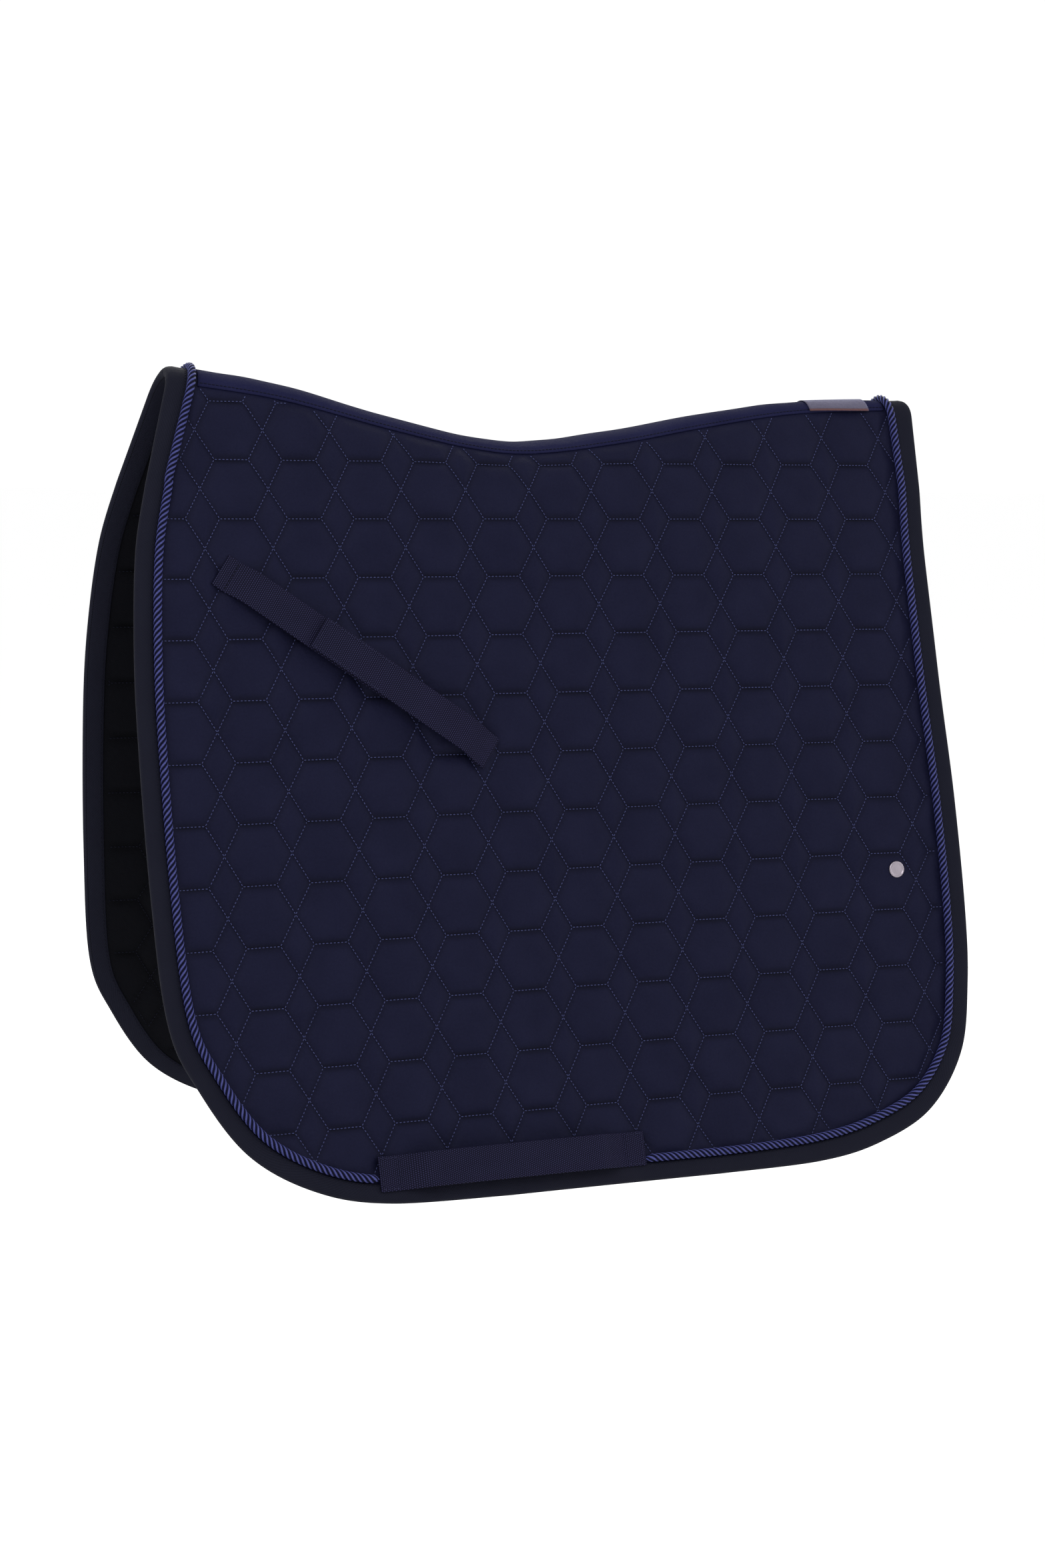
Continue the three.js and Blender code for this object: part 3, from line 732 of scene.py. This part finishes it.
def quilting_stitches(step=2.8):
    """Each stitch's middle and direction, in x and s, over the whole side."""
    rows = range(-3, 14)
    columns = range(-9, 10)
    starts, ends = [], []
    for j in rows:
        for i in columns:
            x = COLUMN_X + i * PITCH_X + COLUMN_TILT * j
            s = ROW_TWO + (j - 2) * PITCH_S
            low = x + COLUMN_TILT
            starts += [(x - HALF_SEGMENT, s), (x + HALF_SEGMENT, s), (x + 3 * HALF_SEGMENT, s)]
            ends += [(x + HALF_SEGMENT, s), (low + 3 * HALF_SEGMENT, s + PITCH_S),
                     (low + HALF_SEGMENT, s + PITCH_S)]
    starts, ends = np.array(starts), np.array(ends)
    middles, ways = [], []
    for a, b in zip(starts, ends):
        count = int(round(np.linalg.norm(b - a) / step))
        t = (np.arange(count) + 0.5) / count
        middles.append(a + t[:, None] * (b - a))
        ways.append(np.repeat(unit(b - a)[None], count, 0))
    middles, ways = np.concatenate(middles), np.concatenate(ways)
    inside = (middles[:, 1] > -110) & (middles[:, 1] < cloth_at(-510))
    middles, ways = middles[inside], ways[inside]
    x, s = middles.T
    return middles, ways, (from_edge(x, s) > cord_inset(x) + 3.3) & in_panel(x, s)


def in_panel(x, s):
    """True inside the side's edge and below the band."""
    inside = np.zeros(len(x), bool)
    for (ax, ay), (bx, by) in zip(EDGE, np.roll(EDGE, -1, 0)):
        crosses = (ay > s) != (by > s)
        with np.errstate(divide="ignore", invalid="ignore"):
            at = (bx - ax) * (s - ay) / (by - ay) + ax
        inside ^= crosses & (x < at)
    up = s < 0
    arc = np.full(len(x), 99.0)
    if up.any():
        arc[up] = spine_row(x[up], s[up])[1]
    return inside & (arc > band_half_width(x) + 1.5)


def sewn_on(tree, side, places, ways, way_up, length, proud):
    """Stitches lying on a panel's face: their middles, directions and normals."""
    def face_point(p):
        origin, normal = surface(side, p[:, 0], p[:, 1], way_up * 12.0 - 4.5)
        hits = [tree.ray_cast(o, -n, 24.0)[0] for o, n in
                zip(origin.tolist(), way_up * normal)]
        found = [h if h is not None else o for h, o in zip(hits, origin)]
        return np.array([tuple(h) for h in found]), way_up * normal
    half = 0.5 * length * ways
    start, _ = face_point(places - half)
    end, _ = face_point(places + half)
    middle, normal = face_point(places)
    chord = (start + end) / 2
    rise = np.maximum(np.einsum("ij,ij->i", middle - chord, normal), 0)
    return chord + normal * (rise + proud)[:, None], unit(end - start), normal


STITCH_LENGTH, STITCH_RADIUS, STITCH_PROUD = 2.05, 0.37, 0.16
middles, ways, kept = quilting_stitches()
middles, ways = middles[kept], ways[kept]
for word, side in SIDES:
    for part, layer, way_up, material, slot in (
            ("quilting_thread", "panel", 1, THREAD, "quilted_shell"),
            ("lining_thread", "quilted_lining", -1, DARK_THREAD, "lining")):
        stitches = sewn_on(shown_faces[word, layer], side, middles, ways, way_up, STITCH_LENGTH,
                           STITCH_PROUD)
        points, faces = stitch_mesh(*stitches, STITCH_LENGTH, STITCH_RADIUS, 4 + (way_up > 0))
        piece = build(f"{word}_{part}", points, faces, material=material)
        follow_fold(piece)

# ---- binding -----------------------------------------------------------------------------
BINDING_CORD_GAP, BINDING_ROUND = 2.4, 4.6


def arc_points(centre, radius, start, end, count):
    """Points on a round from one angle to another, in degrees."""
    angles = np.radians(np.linspace(start, end, count))
    return np.stack([centre[0] + radius * np.cos(angles), centre[1] + radius * np.sin(angles)], -1)


def binding_section(leg):
    """A strip folded over the edge, [across, up]: its outside, then its inside."""
    r = BINDING_ROUND
    outside = np.vstack([
        [(-leg, 0.12), (0.5 - leg, 0.46), (1.6 - leg, 0.56), (-9, 0.66), (-6.2, 0.75)],
        arc_points((-r, 0.4 - r), r, 80, -80, 9),
        [(-6.5, -9.1), (-9.5, -9.5), (-12.5, -9.5), (-14.6, -9.3), (-15.2, -8.9)]])
    inside = np.vstack([
        [(-15.0, -8.5), (-12.5, -8.75), (-9.5, -8.75), (-6.5, -8.35)],
        arc_points((-r, 0.4 - r), r - 0.8, -75, 75, 7),
        [(-6.2, 0.0), (-9, 0.0), (0.4 - leg, -0.2)]])
    return np.vstack([outside, inside])


def edge_binding(side):
    """The binding round one side's edge: points, faces and cloth places."""
    places, run = even(outline(0), 3.0)
    point, normal = surface(side, places[:, 0], places[:, 1])
    legs = cord_distance(places[:, 0], places[:, 1]) - BINDING_CORD_GAP
    sections = np.array([binding_section(leg) for leg in legs])
    tangent = unit(np.gradient(point, axis=0))
    centre = surface(side, np.array([0.0]), np.array([230.0]))[0][0]
    out = np.einsum("ij,ij->i", np.cross(tangent, normal), point - centre)
    girth = np.linalg.norm(np.diff(sections, axis=1), axis=-1).cumsum(1)
    girth = np.concatenate([np.zeros((len(run), 1)), girth], 1)
    cloth = np.stack([np.repeat(run, sections.shape[1]), girth.ravel()], -1)
    points, faces = swept(point, normal, sections * (np.sign(np.median(out)), 1))
    return points, faces, cloth


def stitched_line(name, line, side, lift, material, way_up=1, step=3.2, radius=0.3):
    """A run of stitches along a line of x and s."""
    places, run = even(line, step)
    middle = (places[:-1] + places[1:]) / 2
    point, normal = surface(side, middle[:, 0], middle[:, 1], lift)
    a = surface(side, places[:-1, 0], places[:-1, 1], lift)[0]
    b = surface(side, places[1:, 0], places[1:, 1], lift)[0]
    points, faces = stitch_mesh(point, unit(b - a), way_up * normal, 0.8 * step, radius, 4)
    return build(name, points, faces, material=material)


for word, side in SIDES:
    points, faces, cloth = edge_binding(side)
    piece = outward(build(f"{word}_edge_binding", points, faces, cloth, BINDING))
    follow_fold(piece)
    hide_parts(f"{word}_binding", "spine_binding_front", "spine_binding_rear")
    for part, line, lift, way_up in (("outer", outline(-4.4, True), 0.66, 1),
                                     ("inner", outline(13.2), -9.6, -1)):
        piece = stitched_line(f"{word}_binding_stitch_{part}", line, side, lift, DARK_THREAD,
                              way_up, radius=0.24)
        follow_fold(piece)

# ---- piping cord -------------------------------------------------------------------------
STRANDS, LAY = 4, 17.0
STRAND_RADIUS, STRAND_OFFSET = 1.34, 1.72


def cord_section(count=28):
    """A round of four strands, and how deep each point lies in the groove between them."""
    angles = np.arange(count) * 2 * math.pi / count
    reach = np.zeros(count)
    for k in range(STRANDS):
        middle = 2 * math.pi * k / STRANDS
        gap = (angles - middle + math.pi) % (2 * math.pi) - math.pi
        side_step = STRAND_OFFSET * np.sin(gap)
        inside = np.abs(side_step) < STRAND_RADIUS
        chord = np.sqrt(np.maximum(STRAND_RADIUS**2 - side_step**2, 0))
        r = STRAND_OFFSET * np.cos(gap) + chord
        reach = np.maximum(reach, np.where(inside, r, 0))
    section = np.stack([reach * np.cos(angles), reach * np.sin(angles)], -1)
    return section, (reach.max() - reach) / (reach.max() - reach.min())


def cord_piece(name, line, side, ends):
    """A length of twisted cord along a line of x and s; ends says which ends tuck under."""
    places, run = even(line, 0.85)
    dive = np.zeros(len(run))
    taper = np.ones(len(run))
    for end in ends:
        gap = run if end == "start" else run[-1] - run
        tuck = 1 - smoothstep(gap, 0, 5)
        dive += tuck
        taper *= 1 - 0.45 * tuck
    point, normal = surface(side, places[:, 0], places[:, 1], 2.3 - 1.7 * dive)
    section, groove = cord_section()
    points, faces = swept(point, normal, section, twist=-2 * math.pi * run / LAY, taper=taper)
    angle = np.arange(len(section)) * 3.02 * 2 * math.pi / len(section)
    cloth = np.stack([np.repeat(run, len(section)), np.tile(angle, len(run))], -1)
    return outward(build(name, points, faces, cloth, CORD_SATIN,
                         values={"groove": np.tile(groove, len(run))}))


GIRTH = {"x0": -160.0, "x1": 48.0, "z": -502.0}
cord_line = even(outline(0, True), 0.5)[0]
hem = cord_line[:, 1] > cloth_at(-470)
for word, side in SIDES:
    front = cord_line[~(hem & (cord_line[:, 0] > GIRTH["x0"] - 0.5)) & (cord_line[:, 0] < 60)]
    rear = cord_line[~(hem & (cord_line[:, 0] < GIRTH["x1"] + 0.5)) & (cord_line[:, 0] > 40)]
    for part, line, ends in (("front", front, ["end"]), ("rear", rear, ["start"])):
        piece = cord_piece(f"{word}_twisted_cord_{part}", line, side, ends)
        follow_fold(piece)
        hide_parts(f"{word}_cord_{part}", f"spine_cord_{part}")

# ---- band and label on the spine ---------------------------------------------------------
BAND_FRONT, BAND_REAR = 22.3, 25.8


def band_grid(rows, columns, lift):
    """The band's face, its underside and their cloth places."""
    row = np.linspace(BAND_FRONT / SPAN, 1 - BAND_REAR / SPAN, rows)[:, None]
    x = lerp(RIDGE_START, RIDGE_END, row)
    share = np.linspace(-1, 1, columns)[None]
    arc = share * band_half_width(x)
    edge = np.abs(share) * np.ones_like(arc)
    rise = lift * (1 - smoothstep(edge, 0.955, 1.0) * 0.75)
    swell = 0.5 * smoothstep(1 - edge, 0.12, 0.3)
    swell = swell + 0.16 * np.sin(x / 9 + 2.2 * np.sin(x / 37) + share) * smoothstep(
        1 - edge, 0.05, 0.5)
    point = spine_point(np.broadcast_to(row, arc.shape), arc, rise + swell)[0]
    under = spine_point(np.broadcast_to(row, arc.shape), arc, -0.9)[0]
    return point, under, np.stack([x * np.ones_like(arc), arc], -1)


top, bottom, cloth = band_grid(240, 41, 0.55)
points, faces = slab(top, bottom)
piece = outward(build("ridge_band", points, faces, np.tile(cloth.reshape(-1, 2), (2, 1)),
                      BAND_CLOTH))
attach(piece, "spine", "spine_band", "spine_band")
for word, side in SIDES:
    row = np.linspace((BAND_FRONT + 1) / SPAN, 1 - (BAND_REAR + 1) / SPAN, 190)
    x = lerp(RIDGE_START, RIDGE_END, row)
    arc = side * (band_half_width(x) - 2.2)
    point, normal = spine_point(row, arc, 0.98)
    middle = (point[1:] + point[:-1]) / 2
    points, faces = stitch_mesh(middle, unit(np.diff(point, axis=0)), normal[:-1], 2.5, 0.3, 4)
    piece = build(f"band_stitch_{word}", points, faces, material=DARK_THREAD)
    attach(piece, "spine", "spine_band")


def label_grid(x0, x1, arc0, arc1, rows, columns, lift):
    """The label's face, its back and their cloth places."""
    row = (np.linspace(x0, x1, rows) - RIDGE_START) / SPAN
    arc = np.linspace(arc0, arc1, columns)
    row, arc = np.meshgrid(row, arc, indexing="ij")
    wave = 0.25 * np.sin(row * 60) * np.sin(arc / 7)
    place = np.stack([row * SPAN, arc], -1)
    shown, hidden = (spine_point(row, -arc, lift + wave - drop)[0] for drop in (0, 0.5))
    return shown, hidden, place


for name, arc0, arc1, material in (("woven_label", -6.0, 16.2, LABEL_CLOTH),
                                   ("woven_label_edge", 16.3, 18.0, LABEL_EDGE)):
    top, bottom, place = label_grid(231, 282, arc0, arc1, 30, 14, 2.1)
    points, faces = slab(top, bottom)
    piece = outward(build(name, points, faces, np.tile(place.reshape(-1, 2), (2, 1)), material))
    attach(piece, "spine", "label", "spine_label")

# ---- webbing -----------------------------------------------------------------------------
WEAVE_ALONG, WEAVE_ACROSS, WEAVE_DEPTH = 1.5, 1.55, 0.34


def weave_height(along, across):
    """The webbing's bumps, 0 to 1; each row is set off from the next by half a bump."""
    row = np.floor(along / WEAVE_ALONG)
    rib = np.abs(np.sin(math.pi * along / WEAVE_ALONG))
    bump = np.abs(np.sin(math.pi * (across / WEAVE_ACROSS + 0.5 * (row % 2))))
    return (rib * bump) ** 1.5


def strap_section(width, thickness, steps):
    """A flat strip with rounded edges."""
    half, r = width / 2, thickness / 2
    top = np.stack([np.linspace(-half + r, half - r, steps), np.full(steps, r)], -1)
    right = arc_points((half - r, 0), r, 60, -60, 4)
    left = arc_points((-half + r, 0), r, 240, 120, 4)
    under = np.stack([np.linspace(half - r, -half + r, 9), np.full(9, -r)], -1)
    return np.vstack([top, right, under, left])


FOLD_LENGTH, END_ROUND = 14.0, 1.3


class Strip:
    """A strip laid along a straight line of the side view, from start to end in x and z."""

    def __init__(self, side, start, end):
        self.side = side
        self.start = np.array(start, float)
        self.way = unit(np.array(end, float) - self.start)

    def frames(self, distance, lift):
        """Points above the strip's line at distances along it, and their normals."""
        p = self.start + distance[:, None] * self.way
        return surface(self.side, p[:, 0], cloth_at(p[:, 1]), lift)

    def piece(self, name, low, high, lift, width=25.0, thickness=1.4, material=WEBBING, fold=0.0,
              folded="both"):
        """The strip from low to high; fold is the second layer's thickness at its folded ends."""
        step = WEAVE_ALONG / 4
        distance = np.linspace(low, high, int((high - low) / step) + 1)
        point, normal = self.frames(distance, lift(distance))
        steps = int(width / WEAVE_ACROSS * 4) if material is WEBBING else 9
        section = np.repeat(strap_section(width, thickness, steps)[None], len(distance), 0)
        under = section[..., 1] < 0
        gap = {"start": distance - low, "end": high - distance,
               "both": np.minimum(distance - low, high - distance)}[folded]
        doubled = fold * (1 - smoothstep(gap, FOLD_LENGTH - 1, FOLD_LENGTH))
        section[..., 1] -= under * doubled[:, None]
        nearest = np.minimum(distance - low, high - distance)
        rounding = np.sqrt(1 - (1 - np.clip(nearest / END_ROUND, 0.03, 1)) ** 2)
        section[..., 1] *= rounding[:, None]
        across = section[..., 0] + width
        weave = weave_height(distance[:, None], across)
        if material is WEBBING:
            flat = 1 - smoothstep(np.abs(section[..., 0]), width / 2 - 0.9, width / 2 - 0.2)
            section[..., 1] += np.where(under, 0, WEAVE_DEPTH * (weave - 0.5)) * flat
        points, faces = swept(point, normal, section)
        cloth = np.stack([np.repeat(distance, section.shape[1]), across.ravel()], -1)
        return outward(build(name, points, faces, cloth, material, values={"weave": weave}))

    def stitches(self, name, lines, lift, material=WEBBING_THREAD, step=2.6, radius=0.34):
        """Sewn lines on the strip: each from [along, across] to [along, across]."""
        centres, alongs, ups = [], [], []
        for a, b in lines:
            a, b = np.array(a, float), np.array(b, float)
            count = max(1, int(round(np.linalg.norm(b - a) / step)))
            t = (np.arange(count) + 0.5) / count
            p = a + t[:, None] * (b - a)
            point, normal = self.frames(p[:, 0], lift(p[:, 0]))
            ahead, _ = self.frames(p[:, 0] + 1, lift(p[:, 0] + 1))
            along = unit(ahead - point)
            across = unit(np.cross(along, normal))
            way = unit(b - a)
            centres.append(point + across * p[:, 1:2])
            alongs.append(unit(along * way[0] + across * way[1]))
            ups.append(normal)
        points, faces = stitch_mesh(np.concatenate(centres), np.concatenate(alongs),
                                    np.concatenate(ups), 0.85 * step, radius, 4)
        return build(name, points, faces, material=material)


SEWN_HALF_WIDTH = 10.8


def across_lines(places):
    """Sewn lines right across a strap."""
    return [((u, -SEWN_HALF_WIDTH), (u, SEWN_HALF_WIDTH)) for u in places]


def edge_lines(low, high):
    """Sewn lines along both edges of a strap."""
    return [((low, side * SEWN_HALF_WIDTH), (high, side * SEWN_HALF_WIDTH)) for side in (-1, 1)]


def level(height):
    """A lift that is the same all along a strap."""
    return lambda u: np.full(np.shape(u), height)


SEWN = 1.1
LOOP_SEWN = 2.3
LOOP_RAISED = 10.9
BILLET_FRONT, BILLET_REAR = (-251.5, -81.5), (-56.0, -214.0)
LOWER_END, UPPER_START, TAPE_START, TAPE_END = 148, 81, 88, 142
BILLET_LENGTH = math.hypot(BILLET_REAR[0] - BILLET_FRONT[0], BILLET_REAR[1] - BILLET_FRONT[1])
LOWER_LIFT, LOOP_TAPE_LIFT, HOOK_TAPE_LIFT, UPPER_LIFT = 7.2, 8.65, 9.85, 11.3
UPPER_REAR_LIFT, TAPE_SIZE = 3.6, (20, 0.9)
GIRTH_LENGTH = GIRTH["x1"] - GIRTH["x0"]
GIRTH_SEAMS = (2.2, 14.0, 15.6)


def girth_lift(u):
    """The girth loop lies on the panel at its ends and stands off it between them."""
    gap = np.minimum(u, GIRTH_LENGTH - u)
    return lerp(LOOP_SEWN, LOOP_RAISED, smoothstep(gap, 17, 38))


def lower_lift(u):
    """The lower strap rises from its sewn front end."""
    return lerp(SEWN, LOWER_LIFT, smoothstep(u, 8, 26))


def upper_lift(u):
    """The upper strap rises from its tab, which holds its rear end."""
    return lerp(UPPER_REAR_LIFT, UPPER_LIFT, smoothstep(BILLET_LENGTH - 1 - u, 0, 24))


for word, side in SIDES:
    flap, strap = f"{word}_flap", f"{word}_billet_strap"
    girth = Strip(side, (GIRTH["x0"], GIRTH["z"]), (GIRTH["x1"], GIRTH["z"]))
    attach(girth.piece(f"{word}_girth_webbing", 0, GIRTH_LENGTH, girth_lift, fold=0.7),
           flap, "webbing", f"{word}_girth_loop")
    far_seams = [GIRTH_LENGTH - u for u in reversed(GIRTH_SEAMS)]
    lines = across_lines([*GIRTH_SEAMS, *far_seams])
    lines += edge_lines(*GIRTH_SEAMS[:2]) + edge_lines(*far_seams[1:])
    attach(girth.stitches(f"{word}_girth_stitch", lines, lambda u: girth_lift(u) + 0.85),
           flap, "webbing")

    billet = Strip(side, BILLET_FRONT, BILLET_REAR)
    attach(billet.piece(f"{word}_billet_webbing_lower", 0, LOWER_END, lower_lift, fold=1.1,
                        folded="start"), flap, "webbing", f"{word}_billet_strap_lower")
    attach(billet.stitches(f"{word}_billet_stitch_front", across_lines((9.5,)),
                           lambda u: lower_lift(u) + 0.8, DARK_THREAD), flap, "webbing")
    attach(billet.piece(f"{word}_loop_fastener", TAPE_START, TAPE_END, level(LOOP_TAPE_LIFT),
                        *TAPE_SIZE, TAPE), flap, "hook_and_loop", f"{word}_loop_tape")
    attach(billet.piece(f"{word}_billet_webbing_tab", BILLET_LENGTH - 8, BILLET_LENGTH + 3,
                        level(SEWN), fold=0.6), flap, "webbing", f"{word}_billet_tab")
    attach(billet.stitches(f"{word}_billet_stitch_rear", across_lines((BILLET_LENGTH + 1.2,)),
                           level(SEWN + 0.8)), flap, "webbing")
    attach(billet.piece(f"{word}_billet_webbing_upper", UPPER_START, BILLET_LENGTH + 0.6,
                        upper_lift), strap, "webbing", f"{word}_billet_strap_upper")
    sewn_box = across_lines((UPPER_START + 2.4,)) + edge_lines(UPPER_START + 2.4, TAPE_END)
    attach(billet.stitches(f"{word}_billet_stitch_upper", sewn_box,
                           lambda u: upper_lift(u) + 0.85), strap, "webbing")
    attach(billet.piece(f"{word}_hook_fastener", TAPE_START, TAPE_END, level(HOOK_TAPE_LIFT),
                        *TAPE_SIZE, TAPE), strap, "hook_and_loop", f"{word}_hook_tape")

# ---- badge -------------------------------------------------------------------------------
def lathe(name, profile, centre, up, material, count=48):
    """A closed body turned about up, from [radius, height] pairs that start and end on it."""
    up = Vector(up).normalized()
    turn = up.to_track_quat("Z", "Y").to_matrix()
    inner = profile[1:-1]
    angles = np.arange(count) * 2 * math.pi / count
    points = [(0, 0, profile[0][1])]
    points += [(r * math.cos(a), r * math.sin(a), h) for r, h in inner for a in angles]
    points.append((0, 0, profile[-1][1]))
    faces = []
    last = len(points) - 1
    for j in range(count):
        k = (j + 1) % count
        faces.append((0, 1 + k, 1 + j))
        for i in range(len(inner) - 1):
            a = 1 + i * count
            faces.append((a + j, a + k, a + count + k, a + count + j))
        end = 1 + (len(inner) - 1) * count
        faces.append((end + j, end + k, last))
    world = np.array([turn @ Vector(p) for p in points]) + np.array(centre)
    return outward(build(name, world, faces, material=material))


BADGE_X, BADGE_Z, BADGE_R = 275.0, -312.5, 6.4
for word, side in SIDES:
    place = np.array([BADGE_X]), cloth_at([BADGE_Z])
    point, normal = surface(side, *place, 0.1)
    profile = [(0, -1.5), (BADGE_R - 0.3, -1.5), (BADGE_R, -1.0), (BADGE_R, 1.0), (6.25, 1.35),
               (5.95, 1.62), (5.6, 1.72), (5.25, 1.62), (5.0, 1.35), (4.8, 1.2), (4.3, 1.18),
               (2.4, 1.28), (0, 1.32)]
    attach(lathe(f"{word}_badge_disc", profile, point[0], normal[0], SILVER),
           f"{word}_flap", "badge", f"{word}_badge")
    point, normal = surface(side, *place, -9.3)
    profile = [(0, -1.4), (3.0, -1.4), (BADGE_R - 0.4, -1.4), (BADGE_R, -1.0), (BADGE_R, 0.5),
               (BADGE_R - 0.3, 0.9), (5.2, 1.05), (3.2, 0.95), (2.9, 0.5), (0, 0.45)]
    attach(lathe(f"{word}_badge_back", profile, point[0], -normal[0], SILVER),
           f"{word}_flap", "badge", f"{word}_badge_washer")

# ---- studio ------------------------------------------------------------------------------
FLOOR_Z, FLOOR_REACH = -0.80, 30.0
corners = [(FLOOR_REACH * x, FLOOR_REACH * y, FLOOR_Z) for x, y in ((-1, -1), (1, -1), (1, 1), (-1, 1))]
floor_mesh = bpy.data.meshes.new("floor")
floor_mesh.from_pydata(corners, [], [(0, 1, 2, 3)])
floor = bpy.data.objects.new("floor", floor_mesh)
bpy.context.scene.collection.objects.link(floor)
floor_material, _, _, floor_shader = node_material("pale_floor", (0.95, 0.95, 0.95), 0.9)
floor_shader.inputs["Specular IOR Level"].default_value = 0.1
floor_mesh.materials.append(floor_material)

world = bpy.data.worlds.new("studio")
bpy.context.scene.world = world
world.use_nodes = True
world.node_tree.nodes["Background"].inputs[0].default_value = (1.0, 1.0, 1.0, 1)
world.node_tree.nodes["Background"].inputs[1].default_value = 1.05


def area_light(name, place, target, size, power):
    """A soft rectangular light that faces the target."""
    data = bpy.data.lights.new(name, "AREA")
    data.shape = "RECTANGLE"
    data.size, data.size_y = size
    data.energy = power
    light = bpy.data.objects.new(name, data)
    bpy.context.scene.collection.objects.link(light)
    light.location = place
    light.rotation_mode = "QUATERNION"
    light.rotation_quaternion = (Vector(place) - Vector(target)).to_track_quat("Z", "Y")


CENTRE = (0, 0, -0.25)
area_light("key", (-1.6, -2.2, 1.9), CENTRE, (1.6, 1.6), 40)
area_light("fill", (2.4, -1.6, 0.6), CENTRE, (1.8, 1.8), 14)
area_light("back", (0.6, 2.4, 1.6), CENTRE, (1.6, 1.6), 30)
bpy.context.scene.view_settings.view_transform = "Standard"
